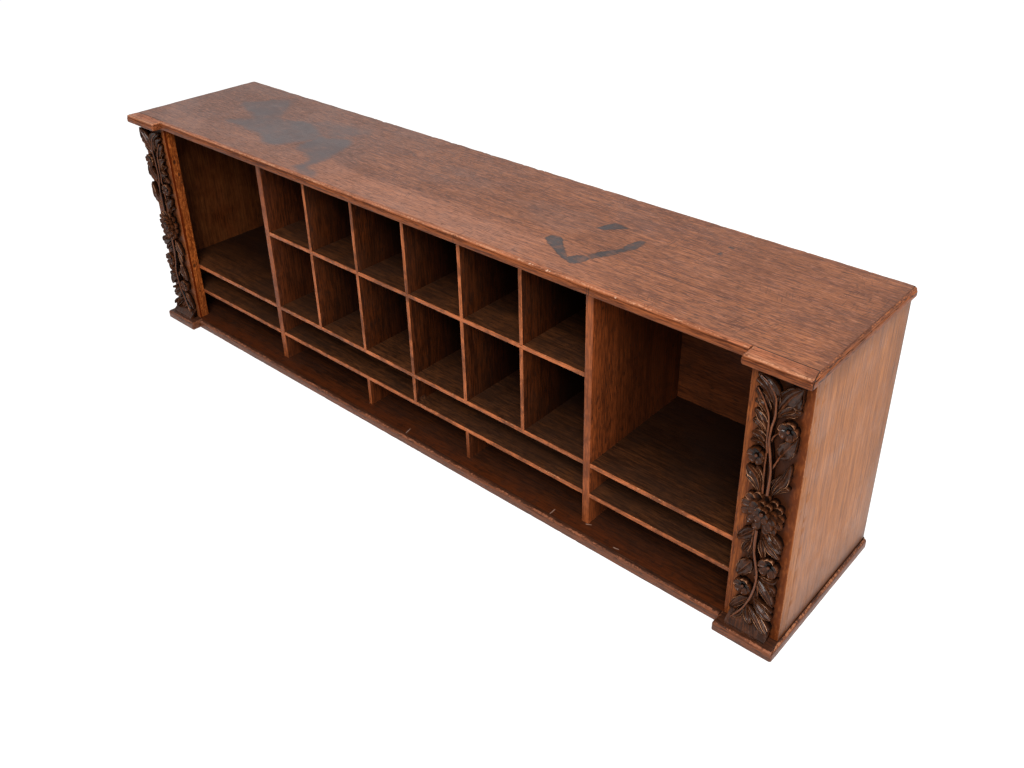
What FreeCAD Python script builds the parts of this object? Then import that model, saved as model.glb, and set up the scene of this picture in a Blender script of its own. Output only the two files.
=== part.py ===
"""Pigeonhole mail sorter: an open oak desk cabinet with carved pilasters.

Millimetres. X runs along the length, Y from front (-) to back (+), Z up.
The origin is the middle of the footprint, on the surface that the base stands on.

Base and top share one plan: a long board with an 8 mm front lipping, a short
projection at each front end that caps a pilaster, and a narrow end strip.
Two thick dividers split the case into a left, a middle and a right bay. Thin
shelves and partitions, housed in shallow grooves, make the pigeonholes.
"""
import FreeCAD
import Part
import math
import os
from FreeCAD import Vector

# ---------------------------------------------------------------- driving sizes
WIDTH = 1330.0              # over the ends of top and base
DEPTH = 269.0               # front of the projections to the back of the top
HEIGHT = 409.6              # underside of the base to the top surface

TOP_THICK = 12.8
BASE_THICK = 14.1
END_OVERHANG = 5.0          # top and base beyond the end panels
BACK_OVERHANG = 3.0         # top and base beyond the back panel
PROJECTION_OUT = 15.2       # projections beyond the main front edge
PROJECTION_RUN = 84.5       # their length along X, from the end
LIPPING_DEPTH = 8.0         # strip along the main front edge
END_STRIP = 4.5             # strip along each end

END_PANEL_THICK = 12.0
BACK_PANEL_THICK = 9.0
THICK_DIVIDER = 12.0
THIN_BOARD = 6.5            # shelves, partitions and short dividers

FRONT_SETBACK = 27.5        # main front edge back to the fronts of the dividers
FACE_SETBACK = 8.7          # main front edge back to the pilaster's face
FACE_THICK = 4.4            # face board that carries the carving
LEFT_PILASTER = 70.0
RIGHT_PILASTER = 76.5

DIVIDED_WIDTH = 700.0       # over the two thick dividers
MIDDLE_SHELF_TOP = 263.3    # heights of the shelves' upper faces
SLOT_SHELF_TOP = 120.7
LOW_SHELF_TOP = 68.6
PIGEONHOLES = 6             # in each of the two rows
LETTER_SLOTS = 2            # under the pigeonholes
BOTTOM_SLOTS = 3            # on the base

HOUSING = 4.0               # depth of the grooves in the thick boards
THIN_HOUSING = 1.5          # depth of the grooves in the thin shelves
HOUSING_PLAY = 0.1          # each side of a board in its groove
JOINT_PLAY = 0.05           # glued edge joints of lippings and strips

# edge mouldings of top and base
TOP_BAND = 4.2              # square band above the quirk
TOP_BAND_SET = 1.0          # the band stands back from the round below it
QUIRK = 0.9                 # width of the quirk
QUIRK_IN = 0.6              # its depth beyond the round
TOP_ARRIS = 1.2
ROUND_UPPER = 2.5           # the round below the quirk: its upper radius
ROUND_LOWER = 4.2           # and its lower one
BASE_ROUND = 4.0            # upper round of the base's edge
BASE_LOWER_ROUND = 3.0
CORNER_ROUND = 3.5          # in plan, at the outer corners
OVERCUT = 1.0               # cutting shapes run past what they cut

# carving
CARVING_WIDTH = 57.0
CARVING_MARGIN_TOP = 3.0    # below the top
GROUND_RELIEF = 2.0         # thickness of the thinnest leaves
FOOT_HEIGHT = 17.0          # rough block under the stems
FOOT_RIM = 4.0              # its upright front edge
FOOT_OUT = 16.5             # how far it stands out at the base

# fasteners
NAIL_RADIUS = 1.0
NAIL_HEAD_RADIUS = 2.4
NAIL_HEAD_THICK = 0.8
NAIL_BITE = 14.0            # length beyond the back panel
NAILS_PER_BOARD = 4         # back panel to each end panel and thick divider
NAIL_END_GAP = 30.0         # first and last nail from the panel's edge
SCREW_RADIUS = 2.0
SCREW_HEAD_RADIUS = 4.0
SCREW_HEAD_DEEP = 2.4
SCREW_LENGTH = 26.0
SCREWS_PER_BOARD = 3        # base to each end panel and thick divider
SCREW_END_GAP = 35.0
BLOCK_SIDE = 5.5            # legs of the little glue blocks
BLOCK_RUN = 12.0
BLOCK_SET = 6.0             # behind the divider's front edge

# ------------------------------------------------------------- derived places
LEFT, RIGHT = -1, 1
X_END = WIDTH / 2
Y_FRONT = -DEPTH / 2                          # projections
Y_BACK = DEPTH / 2
Y_MAIN = Y_FRONT + PROJECTION_OUT             # main front edge
Y_LIPPING = Y_MAIN + LIPPING_DEPTH            # joint behind lipping and projections
Y_CASE = Y_MAIN + FRONT_SETBACK               # fronts of dividers and shelves
Y_FACE = Y_MAIN + FACE_SETBACK                # pilaster's face
Y_FACE_BACK = Y_FACE + FACE_THICK
Y_PANEL_BACK = Y_BACK - BACK_OVERHANG
Y_BACK_PANEL = Y_PANEL_BACK - BACK_PANEL_THICK
X_PANEL = X_END - END_OVERHANG                # outer face of an end panel
X_PANEL_IN = X_PANEL - END_PANEL_THICK
X_PROJECTION = X_END - PROJECTION_RUN
X_STRIP = X_END - END_STRIP
X_DIVIDER_OUT = DIVIDED_WIDTH / 2
X_DIVIDER_IN = X_DIVIDER_OUT - THICK_DIVIDER
Z_TOP = HEIGHT - TOP_THICK                    # underside of the top
PILASTER = {LEFT: LEFT_PILASTER, RIGHT: RIGHT_PILASTER}
SIDE_NAME = {LEFT: "left", RIGHT: "right"}
# each thick upright's inner face, outer face and back edge
UPRIGHTS = [(s * X_PANEL_IN, s * X_PANEL, Y_PANEL_BACK) for s in (LEFT, RIGHT)]
UPRIGHTS += [(s * X_DIVIDER_IN, s * X_DIVIDER_OUT, Y_BACK_PANEL) for s in (LEFT, RIGHT)]


# ---------------------------------------------------------------- small tools
def box(x0, x1, y0, y1, z0, z1):
    """Return the box between two corners, given in any order along X."""
    low, high = min(x0, x1), max(x0, x1)
    return Part.makeBox(high - low, y1 - y0, z1 - z0, Vector(low, y0, z0))


def lines(points):
    """Return the straight edges that join the points in order."""
    return [Part.makeLine(a, b) for a, b in zip(points[:-1], points[1:])]


def cut_all(shape, tools):
    """Return the shape with every tool cut from it."""
    for tool in tools:
        shape = shape.cut(tool)
    return shape


def groove(x0, x1, y0, y1, z0, z1, across):
    """Return a groove's box, wider than its board by the play along one axis."""
    play = {"x": 0.0, "z": 0.0}
    play[across] = HOUSING_PLAY
    low, high = min(x0, x1), max(x0, x1)
    return box(low - play["x"], high + play["x"], y0, y1, z0 - play["z"], z1 + play["z"])


def spread(count, low, high, thick):
    """Return the centres of boards that split a span into equal clear bays."""
    clear = (high - low - (count - 1) * thick) / count
    return [low + clear + thick / 2 + i * (clear + thick) for i in range(count - 1)]


def between(count, low, high):
    """Return evenly spaced places from low to high."""
    return [low + (high - low) * i / (count - 1) for i in range(count)]


# -------------------------------------------------------------- edge mouldings
def bend(radius):
    """Return how far a quarter round's middle stands in from its two tangents."""
    return radius * (1 - math.sqrt(0.5))


def top_profile(reach):
    """Return the top's edge as a face in (out, up): a band, a quirk and a round.

    The origin is the foot of the edge's furthest plane; the board lies on -X.
    """
    round_top = TOP_THICK - TOP_BAND - QUIRK
    band_z = round_top + QUIRK
    floor = -ROUND_UPPER - QUIRK_IN
    lower = Part.Arc(Vector(-ROUND_LOWER, 0, 0), Vector(-bend(ROUND_LOWER), 0, bend(ROUND_LOWER)),
                     Vector(0, 0, ROUND_LOWER))
    upper = Part.Arc(Vector(0, 0, round_top - ROUND_UPPER),
                     Vector(-bend(ROUND_UPPER), 0, round_top - bend(ROUND_UPPER)),
                     Vector(-ROUND_UPPER, 0, round_top))
    arris = Part.Arc(Vector(-TOP_BAND_SET, 0, TOP_THICK - TOP_ARRIS),
                     Vector(-TOP_BAND_SET - bend(TOP_ARRIS), 0, TOP_THICK - bend(TOP_ARRIS)),
                     Vector(-TOP_BAND_SET - TOP_ARRIS, 0, TOP_THICK))
    flat = [Vector(0, 0, ROUND_LOWER), Vector(0, 0, round_top - ROUND_UPPER)]
    quirk = [Vector(-ROUND_UPPER, 0, round_top), Vector(floor, 0, round_top),
             Vector(floor, 0, band_z), Vector(-TOP_BAND_SET, 0, band_z),
             Vector(-TOP_BAND_SET, 0, TOP_THICK - TOP_ARRIS)]
    back = [Vector(-TOP_BAND_SET - TOP_ARRIS, 0, TOP_THICK), Vector(-reach, 0, TOP_THICK),
            Vector(-reach, 0, 0), Vector(-ROUND_LOWER, 0, 0)]
    return Part.Face(Part.Wire([lower.toShape()] + lines(flat) + [upper.toShape()] + lines(quirk)
                               + [arris.toShape()] + lines(back)))


def base_profile(reach):
    """Return the base's edge as a face in (out, up): rounded above and below."""
    lower = Part.Arc(Vector(-BASE_LOWER_ROUND, 0, 0),
                     Vector(-bend(BASE_LOWER_ROUND), 0, bend(BASE_LOWER_ROUND)),
                     Vector(0, 0, BASE_LOWER_ROUND))
    upper = Part.Arc(Vector(0, 0, BASE_THICK - BASE_ROUND),
                     Vector(-bend(BASE_ROUND), 0, BASE_THICK - bend(BASE_ROUND)),
                     Vector(-BASE_ROUND, 0, BASE_THICK))
    face = [Vector(0, 0, BASE_LOWER_ROUND), Vector(0, 0, BASE_THICK - BASE_ROUND)]
    back = [Vector(-BASE_ROUND, 0, BASE_THICK), Vector(-reach, 0, BASE_THICK),
            Vector(-reach, 0, 0), Vector(-BASE_LOWER_ROUND, 0, 0)]
    return Part.Face(Part.Wire([lower.toShape()] + lines(face) + [upper.toShape()] + lines(back)))


def edge_waste(profile, thick, length, turn, x, y, z):
    """Return what a moulding plane takes off a straight edge.

    The edge faces +X before the turn about Z and runs along Y for its length,
    centred on the given point, which lies on the edge's furthest plane.
    """
    blank = Part.makeBox(thick + OVERCUT, length, thick + 2 * OVERCUT,
                         Vector(-thick, -length / 2, -OVERCUT))
    kept = profile(thick + OVERCUT).extrude(Vector(0, length, 0))
    kept.translate(Vector(0, -length / 2, 0))
    waste = blank.cut(kept)
    waste.rotate(Vector(0, 0, 0), Vector(0, 0, 1), turn)
    waste.translate(Vector(x, y, z))
    return waste


def corner_waste(x, y, z, thick, side, outward):
    """Return the sharp part of an upright corner outside its plan round.

    side is -1 or +1 along X, outward the same along Y.
    """
    inner_x = x - side * CORNER_ROUND
    inner_y = y - outward * CORNER_ROUND
    y0, y1 = sorted((inner_y, y + outward * OVERCUT))
    blank = box(inner_x, x + side * OVERCUT, y0, y1, z - OVERCUT, z + thick + OVERCUT)
    post = Part.makeCylinder(CORNER_ROUND, thick + 2 * OVERCUT,
                             Vector(inner_x, inner_y, z - OVERCUT))
    return blank.cut(post)


# ------------------------------------------------------------- top and base
def plan_pieces(name, z, thick, profile):
    """Return the six pieces that share the plan of top and base.

    Board, front lipping, two projections and two end strips, with the moulding
    worked on every outer edge and the outer corners rounded.
    """
    z1 = z + thick
    long_edge = WIDTH + 2 * OVERCUT
    deep_edge = DEPTH + 2 * OVERCUT
    front = edge_waste(profile, thick, long_edge, -90, 0, Y_FRONT, z)
    main = edge_waste(profile, thick, 2 * X_PROJECTION - JOINT_PLAY, -90, 0, Y_MAIN, z)
    ends = {s: edge_waste(profile, thick, deep_edge, 0 if s > 0 else 180, s * X_END, 0, z)
            for s in (LEFT, RIGHT)}
    pieces = {}
    board = box(-X_STRIP + JOINT_PLAY, X_STRIP - JOINT_PLAY, Y_LIPPING + JOINT_PLAY, Y_BACK, z, z1)
    lipping = box(-X_PROJECTION + JOINT_PLAY, X_PROJECTION - JOINT_PLAY, Y_MAIN, Y_LIPPING, z, z1)
    pieces[name + "_front_lipping"] = lipping.cut(main)
    for s in (LEFT, RIGHT):
        side = SIDE_NAME[s]
        projection = box(s * X_PROJECTION, s * (X_STRIP - JOINT_PLAY), Y_FRONT, Y_LIPPING, z, z1)
        turn = 180 if s > 0 else 0
        inner = edge_waste(profile, thick, 2 * PROJECTION_OUT, turn,
                           s * X_PROJECTION, Y_MAIN - PROJECTION_OUT, z)
        corner = corner_waste(s * X_PROJECTION, Y_FRONT, z, thick, -s, -1)
        pieces["%s_%s_projection" % (name, side)] = cut_all(projection, [front, inner, corner, ends[s]])
        strip = box(s * X_STRIP, s * X_END, Y_FRONT, Y_BACK, z, z1)
        corners = [corner_waste(s * X_END, y, z, thick, s, out)
                   for y, out in ((Y_FRONT, -1), (Y_BACK, 1))]
        pieces["%s_%s_end_strip" % (name, side)] = cut_all(strip, [front, ends[s]] + corners)
        board = board.cut(ends[s])
    pieces[name + "_board"] = board
    return pieces


def housings(z0, z1):
    """Return the grooves of all thick uprights between two heights."""
    return [groove(x0, x1, Y_CASE, y_end + HOUSING_PLAY, z0, z1, "x")
            for x0, x1, y_end in UPRIGHTS]


def thin_housings(centres, z0, z1):
    """Return the grooves of thin boards that stop short of a board's front."""
    return [groove(x - THIN_BOARD / 2, x + THIN_BOARD / 2, Y_CASE, Y_BACK_PANEL + HOUSING_PLAY,
                   z0, z1, "x") for x in centres]


def top_pieces():
    """Return the top's pieces, with the grooves for the uprights beneath."""
    pieces = plan_pieces("top", Z_TOP, TOP_THICK, top_profile)
    slots = housings(Z_TOP - OVERCUT, Z_TOP + HOUSING)
    slots += thin_housings(PARTITION_X, Z_TOP - OVERCUT, Z_TOP + THIN_HOUSING)
    pieces["top_board"] = cut_all(pieces["top_board"], slots)
    return pieces


def base_pieces():
    """Return the base's pieces, with grooves above and screw holes from below."""
    pieces = plan_pieces("base", 0.0, BASE_THICK, base_profile)
    slots = housings(BASE_THICK - HOUSING, BASE_THICK + OVERCUT)
    slots += thin_housings(BOTTOM_X, BASE_THICK - THIN_HOUSING, BASE_THICK + OVERCUT)
    slots += [screw_at(x, y) for x, y in SCREW_PLACES]
    pieces["base_board"] = cut_all(pieces["base_board"], slots)
    return pieces


# ------------------------------------------------------------------ fasteners
def screw_at(x, y):
    """Return a countersunk screw driven up from the underside of the base."""
    head = Part.makeCone(SCREW_HEAD_RADIUS, SCREW_RADIUS, SCREW_HEAD_DEEP, Vector(x, y, 0))
    shank = Part.makeCylinder(SCREW_RADIUS, SCREW_LENGTH - SCREW_HEAD_DEEP,
                              Vector(x, y, SCREW_HEAD_DEEP))
    return head.fuse(shank)


def nail_at(x, z):
    """Return a nail driven forward through the back panel, head outside."""
    toward = Vector(0, -1, 0)
    head = Part.makeCylinder(NAIL_HEAD_RADIUS, NAIL_HEAD_THICK,
                             Vector(x, Y_PANEL_BACK + NAIL_HEAD_THICK, z), toward)
    shank = Part.makeCylinder(NAIL_RADIUS, BACK_PANEL_THICK + NAIL_BITE,
                              Vector(x, Y_PANEL_BACK, z), toward)
    return head.fuse(shank)


def glue_block(x, z, side, up):
    """Return a three-cornered block that fills the angle of a divider and a shelf.

    (x, z) is the angle's line; side and up say which way the block's legs run.
    """
    y0 = Y_CASE + BLOCK_SET
    points = [Vector(x, y0, z), Vector(x + side * BLOCK_SIDE, y0, z),
              Vector(x, y0, z + up * BLOCK_SIDE), Vector(x, y0, z)]
    face = Part.Face(Part.makePolygon(points))
    return face.extrude(Vector(0, BLOCK_RUN, 0))


# ------------------------------------------------------------ uprights, shelves
def end_panel(s):
    """Return an end panel, grooved inside for its bay's two shelves."""
    panel = box(s * X_PANEL_IN, s * X_PANEL, Y_CASE, Y_PANEL_BACK,
                BASE_THICK - HOUSING, Z_TOP + HOUSING)
    slots = [groove(s * (X_PANEL_IN - OVERCUT), s * (X_PANEL_IN + HOUSING), Y_CASE - OVERCUT,
                    Y_BACK_PANEL + HOUSING_PLAY, top - THIN_BOARD, top, "z")
             for top in (SLOT_SHELF_TOP, LOW_SHELF_TOP)]
    rebate = box(s * (X_PANEL_IN - OVERCUT), s * (X_PANEL_IN + HOUSING), Y_BACK_PANEL, Y_BACK,
                 BASE_THICK, Z_TOP)
    return cut_all(panel, slots + [rebate] + fasteners_in(s * X_PANEL_IN, s * X_PANEL))


def thick_divider(s):
    """Return a full-height divider, grooved on both faces for the shelves."""
    board = box(s * X_DIVIDER_IN, s * X_DIVIDER_OUT, Y_CASE, Y_BACK_PANEL,
                BASE_THICK - HOUSING, Z_TOP + HOUSING)
    deep = {"in": (X_DIVIDER_IN - OVERCUT, X_DIVIDER_IN + HOUSING),
            "out": (X_DIVIDER_OUT - HOUSING, X_DIVIDER_OUT + OVERCUT)}
    cuts = [(deep["in"], MIDDLE_SHELF_TOP)]
    cuts += [(deep[face], top) for face in ("in", "out") for top in (SLOT_SHELF_TOP, LOW_SHELF_TOP)]
    slots = [groove(s * span[0], s * span[1], Y_CASE - OVERCUT, Y_PANEL_BACK, top - THIN_BOARD, top, "z")
             for span, top in cuts]
    return cut_all(board, slots + fasteners_in(s * X_DIVIDER_IN, s * X_DIVIDER_OUT))


def fasteners_in(x0, x1):
    """Return the screws and nails that enter the upright between two faces."""
    low, high = min(x0, x1), max(x0, x1)
    screws = [screw_at(x, y) for x, y in SCREW_PLACES if low < x < high]
    return screws + [nail_at(x, z) for x, z in NAIL_PLACES if low < x < high]


def shelf(x0, x1, top, ups=(), downs=()):
    """Return a thin shelf with its ends in the thick boards' grooves.

    x0 and x1 are the bay's clear faces; ups and downs are the centres of the
    boards housed in its upper and lower face.
    """
    under = top - THIN_BOARD
    plank = box(x0 - HOUSING, x1 + HOUSING, Y_CASE, Y_BACK_PANEL, under, top)
    slots = thin_housings(ups, top - THIN_HOUSING, top + OVERCUT)
    slots += thin_housings(downs, under - OVERCUT, under + THIN_HOUSING)
    return cut_all(plank, slots)


def partition(x, below, above):
    """Return an upright thin board between two faces, housed in both."""
    return box(x - THIN_BOARD / 2, x + THIN_BOARD / 2, Y_CASE, Y_BACK_PANEL,
               below - THIN_HOUSING, above + THIN_HOUSING)


def back_panel():
    """Return the back panel, set into the end panels' rebates and nailed."""
    edge = X_PANEL_IN + HOUSING - HOUSING_PLAY
    panel = box(-edge, edge, Y_BACK_PANEL, Y_PANEL_BACK, BASE_THICK, Z_TOP)
    return cut_all(panel, [nail_at(x, z) for x, z in NAIL_PLACES])


# ------------------------------------------------------------------- pilasters
def pilaster_span(s):
    """Return the inner and outer X of a pilaster."""
    return s * (X_PANEL - PILASTER[s]), s * X_PANEL


def pilaster_stile(s):
    """Return the stile that stands in front of the end panel."""
    x0, x1 = pilaster_span(s)
    return box(x0, x1, Y_FACE_BACK, Y_CASE, BASE_THICK, Z_TOP)


def pilaster_face(s):
    """Return the thin board glued to the stile's front."""
    x0, x1 = pilaster_span(s)
    return box(x0, x1, Y_FACE, Y_FACE_BACK, BASE_THICK, Z_TOP)


# --------------------------------------------------------------------- carving
# The carving is drawn in (u, z): u from the middle of its strip, positive
# towards the case's end, z up from the ground. The drawing is stretched to the
# carving's width and to the height between base and top. Leaves are (root, tip,
# width, relief); half of the width is on each side of the line from root to tip.
DRAWN_WIDTH = 57.0
DRAWN_FOOT = 14.1
DRAWN_HEAD = 396.8
LEAVES = (
    ((0, 336), (-26, 384), 19, 8.0), ((-5, 322), (-25, 364), 16, 7.2), ((0, 336), (23, 386), 32, 12.0),
    ((-5, 300), (-26, 338), 14, 7.4), ((12, 290), (26, 322), 20, 8.2), ((-3, 286), (-26, 308), 12, 6.4),
    ((-3, 230), (-27, 264), 20, 9.2), ((4, 230), (24, 284), 17, 10.2), ((-3, 176), (-27, 152), 18, 9.4),
    ((3, 182), (27, 152), 20, 10.4), ((-1, 140), (-25, 104), 22, 7.6), ((2, 124), (27, 76), 19, 12.2),
    ((0, 98), (26, 52), 21, 9.6), ((-4, 70), (-27, 28), 17, 9.0), ((-2, 72), (26, 24), 16, 12.4),
    ((-6, 66), (12, 22), 13, 9.8), ((-2, 234), (-11, 272), 9, 6.2),
)
# stems are (points, width, relief)
STEMS = (
    (((0, 226), (4, 268), (0, 300), (-2, 330), (3, 360)), 5.2, 5.0),
    (((-3, 226), (-6, 262), (-3, 300), (-8, 330), (-16, 354), (-25, 376)), 4.0, 5.4),
    (((3, 266), (10, 290), (17, 308)), 4.0, 4.6),
    (((-4, 180), (-2, 146), (3, 116), (0, 84), (-10, 60), (-27, 30)), 5.6, 5.8),
    (((-3, 172), (-12, 134), (-16, 106)), 3.6, 4.2),
)
LARGE_PETALS = 14
SMALL_PETALS = 5
# blossoms are (centre, radius, petals, relief)
BLOSSOMS = (
    ((0, 203), 27.0, LARGE_PETALS, 14.0), ((13, 330), 13.0, SMALL_PETALS, 11.6),
    ((-17, 282), 11.5, SMALL_PETALS, 8.8), ((16, 132), 13.5, SMALL_PETALS, 13.0),
    ((-14, 78), 12.5, SMALL_PETALS, 10.8),
)
PETAL_NOTCH = 0.84          # radius between two petals, of the blossom's own
PETAL_RELIEF = 0.62         # relief of the petals, of the blossom's own
BUTTON = 0.3                # radius of the button, of the blossom's own


def drawn(u, z):
    """Return the place of a point of the drawing on the carving's back plane."""
    rise = (z - DRAWN_FOOT) / (DRAWN_HEAD - DRAWN_FOOT)
    return Vector(u * CARVING_WIDTH / DRAWN_WIDTH, 0, BASE_THICK + rise * (Z_TOP - BASE_THICK))


def leaf(root, tip, width, relief):
    """Return a leaf: two arcs from root to tip, given thickness along Y."""
    start, end = drawn(*root), drawn(*tip)
    across = Vector(end.z - start.z, 0, start.x - end.x).normalize()
    middle = (start + end) / 2
    one = Part.Arc(start, middle + across * (width / 2), end).toShape()
    two = Part.Arc(end, middle - across * (width / 2), start).toShape()
    return Part.Face(Part.Wire([one, two])).extrude(Vector(0, -relief, 0))


def stem(points, width, relief):
    """Return a stem: a ribbon of even width that bends at the given points."""
    places = [drawn(u, z) for u, z in points]
    left, right = [], []
    for i, place in enumerate(places):
        along = (places[min(i + 1, len(places) - 1)] - places[max(i - 1, 0)]).normalize()
        across = Vector(along.z, 0, -along.x) * (width / 2)
        left.append(place + across)
        right.append(place - across)
    ring = left + right[::-1] + left[:1]
    return Part.Face(Part.makePolygon(ring)).extrude(Vector(0, -relief, 0))


def blossom(centre, radius, petals, relief):
    """Return a blossom's solids: a scalloped plate, a cone on it and a button."""
    middle, out = drawn(*centre), Vector(0, -1, 0)

    def at(turn, share):
        """Return the point at a turn, given in petals, and a share of the radius."""
        angle = 2 * math.pi * turn / petals
        return middle + Vector(math.cos(angle), 0, math.sin(angle)) * (share * radius)

    scallops = [Part.Arc(at(i, PETAL_NOTCH), at(i + 0.5, 1.0), at(i + 1, PETAL_NOTCH)).toShape()
                for i in range(petals)]
    plate = Part.Face(Part.Wire(scallops)).extrude(Vector(0, -relief * PETAL_RELIEF, 0))
    cone = Part.makeCone(radius * PETAL_NOTCH, radius * BUTTON, relief - GROUND_RELIEF, middle, out)
    button = Part.makeCylinder(radius * BUTTON, relief, middle, out)
    return [plate, cone, button]


def foot_block():
    """Return the rough block at the carving's foot, sloped from face to base."""
    half = CARVING_WIDTH / 2
    rim, head = BASE_THICK + FOOT_RIM, BASE_THICK + FOOT_HEIGHT
    points = [Vector(-half, 0, BASE_THICK), Vector(-half, -FOOT_OUT, BASE_THICK),
              Vector(-half, -FOOT_OUT, rim), Vector(-half, -GROUND_RELIEF, head),
              Vector(-half, 0, head), Vector(-half, 0, BASE_THICK)]
    return Part.Face(Part.makePolygon(points)).extrude(Vector(CARVING_WIDTH, 0, 0))


def carved_drop():
    """Return the carved drop in its own (u, relief, z), fused piece by piece."""
    pieces = [leaf(*sizes) for sizes in LEAVES] + [stem(*sizes) for sizes in STEMS]
    for sizes in BLOSSOMS:
        pieces += blossom(*sizes)
    whole = foot_block()
    for piece in pieces:
        whole = whole.fuse(piece)
    half = CARVING_WIDTH / 2
    strip = box(-half, half, -FOOT_OUT - OVERCUT, 0, BASE_THICK, Z_TOP - CARVING_MARGIN_TOP)
    return whole.common(strip)


def carving(s, drop):
    """Return one carved drop, planted on its pilaster's face."""
    placed = drop.mirror(Vector(0, 0, 0), Vector(1, 0, 0)) if s < 0 else drop.copy()
    x0, x1 = pilaster_span(s)
    placed.translate(Vector((x0 + x1) / 2, Y_FACE, 0))
    return placed


# ---------------------------------------------------------------- assembly
PARTITION_X = spread(PIGEONHOLES, -X_DIVIDER_IN, X_DIVIDER_IN, THIN_BOARD)
LETTER_X = spread(LETTER_SLOTS, -X_DIVIDER_IN, X_DIVIDER_IN, THIN_BOARD)
BOTTOM_X = spread(BOTTOM_SLOTS, -X_DIVIDER_IN, X_DIVIDER_IN, THIN_BOARD)
SCREW_PLACES = [((x0 + x1) / 2, y) for x0, x1, _ in UPRIGHTS
                for y in between(SCREWS_PER_BOARD, Y_CASE + SCREW_END_GAP,
                                 Y_BACK_PANEL - SCREW_END_GAP)]
NAIL_PLACES = [(s * x, z) for s in (LEFT, RIGHT)
               for x in (X_PANEL_IN + HOUSING / 2, X_DIVIDER_OUT - THICK_DIVIDER / 2)
               for z in between(NAILS_PER_BOARD, BASE_THICK + NAIL_END_GAP, Z_TOP - NAIL_END_GAP)]


def assemble():
    """Return every node's name with its shape."""
    nodes = {}
    nodes.update(base_pieces())
    nodes.update(top_pieces())
    nodes["back_panel"] = back_panel()
    drop = carved_drop()
    for s in (LEFT, RIGHT):
        side = SIDE_NAME[s]
        nodes[side + "_end_panel"] = end_panel(s)
        nodes[side + "_thick_divider"] = thick_divider(s)
        nodes[side + "_pilaster_stile"] = pilaster_stile(s)
        nodes[side + "_pilaster_face"] = pilaster_face(s)
        nodes[side + "_carving"] = carving(s, drop)
        bay = sorted((s * X_DIVIDER_OUT, s * X_PANEL_IN))
        nodes[side + "_slot_shelf"] = shelf(bay[0], bay[1], SLOT_SHELF_TOP)
        nodes[side + "_low_shelf"] = shelf(bay[0], bay[1], LOW_SHELF_TOP)
    middle = (-X_DIVIDER_IN, X_DIVIDER_IN)
    nodes["middle_shelf"] = shelf(*middle, MIDDLE_SHELF_TOP, PARTITION_X, PARTITION_X)
    nodes["centre_slot_shelf"] = shelf(*middle, SLOT_SHELF_TOP, PARTITION_X, LETTER_X)
    nodes["centre_low_shelf"] = shelf(*middle, LOW_SHELF_TOP, LETTER_X, BOTTOM_X)
    for i, x in enumerate(PARTITION_X, 1):
        nodes["upper_partition_%d" % i] = partition(x, MIDDLE_SHELF_TOP, Z_TOP)
        nodes["lower_partition_%d" % i] = partition(x, SLOT_SHELF_TOP, MIDDLE_SHELF_TOP - THIN_BOARD)
    for i, x in enumerate(LETTER_X, 1):
        nodes["letter_divider_%d" % i] = partition(x, LOW_SHELF_TOP, SLOT_SHELF_TOP - THIN_BOARD)
    for i, x in enumerate(BOTTOM_X, 1):
        nodes["bottom_divider_%d" % i] = partition(x, BASE_THICK, LOW_SHELF_TOP - THIN_BOARD)
    half = THIN_BOARD / 2
    nodes["glue_blocks"] = Part.makeCompound(
        [glue_block(x + half, LOW_SHELF_TOP - THIN_BOARD, RIGHT, -1) for x in BOTTOM_X]
        + [glue_block(x + half, LOW_SHELF_TOP, RIGHT, 1) for x in LETTER_X])
    nodes["back_nails"] = Part.makeCompound([nail_at(x, z) for x, z in NAIL_PLACES])
    nodes["base_screws"] = Part.makeCompound([screw_at(x, y) for x, y in SCREW_PLACES])
    return nodes


os.makedirs("parts", exist_ok=True)
for node, shape in assemble().items():
    if not shape.isValid():
        raise ValueError("invalid solid in " + node)
    shape.exportStep("parts/" + node + ".step")
    print("%-24s solids %2d  volume %12.1f" % (node, len(shape.Solids), shape.Volume))
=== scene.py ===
"""Looks of an old oak pigeonhole cabinet: worn boards, mouldings and two carved drops.

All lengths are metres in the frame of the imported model: +X runs along the length,
+Y from front to back, +Z up, with the origin in the middle of the footprint.
"""
from __future__ import annotations

import logging
import math
from dataclasses import dataclass, field, replace
from enum import Enum
from typing import Callable, NamedTuple

import bpy
import numpy as np
from mathutils import Matrix, Vector

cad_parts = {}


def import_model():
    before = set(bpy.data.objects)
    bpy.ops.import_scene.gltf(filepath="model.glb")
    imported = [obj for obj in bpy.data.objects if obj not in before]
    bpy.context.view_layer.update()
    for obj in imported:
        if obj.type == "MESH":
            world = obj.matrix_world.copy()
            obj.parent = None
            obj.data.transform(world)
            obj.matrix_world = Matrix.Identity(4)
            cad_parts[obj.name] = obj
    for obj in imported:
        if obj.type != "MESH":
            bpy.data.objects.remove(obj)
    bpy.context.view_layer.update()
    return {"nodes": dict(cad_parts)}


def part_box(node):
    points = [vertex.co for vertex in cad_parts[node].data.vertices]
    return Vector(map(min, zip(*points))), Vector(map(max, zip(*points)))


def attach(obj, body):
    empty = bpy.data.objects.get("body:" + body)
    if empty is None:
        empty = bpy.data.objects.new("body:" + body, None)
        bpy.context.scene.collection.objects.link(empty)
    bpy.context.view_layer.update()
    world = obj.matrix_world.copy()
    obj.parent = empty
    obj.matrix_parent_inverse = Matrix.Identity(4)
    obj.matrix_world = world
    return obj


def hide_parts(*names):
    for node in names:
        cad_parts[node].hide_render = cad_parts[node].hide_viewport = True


MM = 0.001
LOG = logging.getLogger("cabinet")
BODY = "root"
WAVES = 7                    # how many sines make a ripple
MET = 0.1 * MM               # plan radius of a corner that meets another piece
GRAIN_DEPTH = 0.8 * MM       # how deep the grain and the tool marks look
Array = np.ndarray
Sockets = bpy.types.bpy_prop_collection
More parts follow.
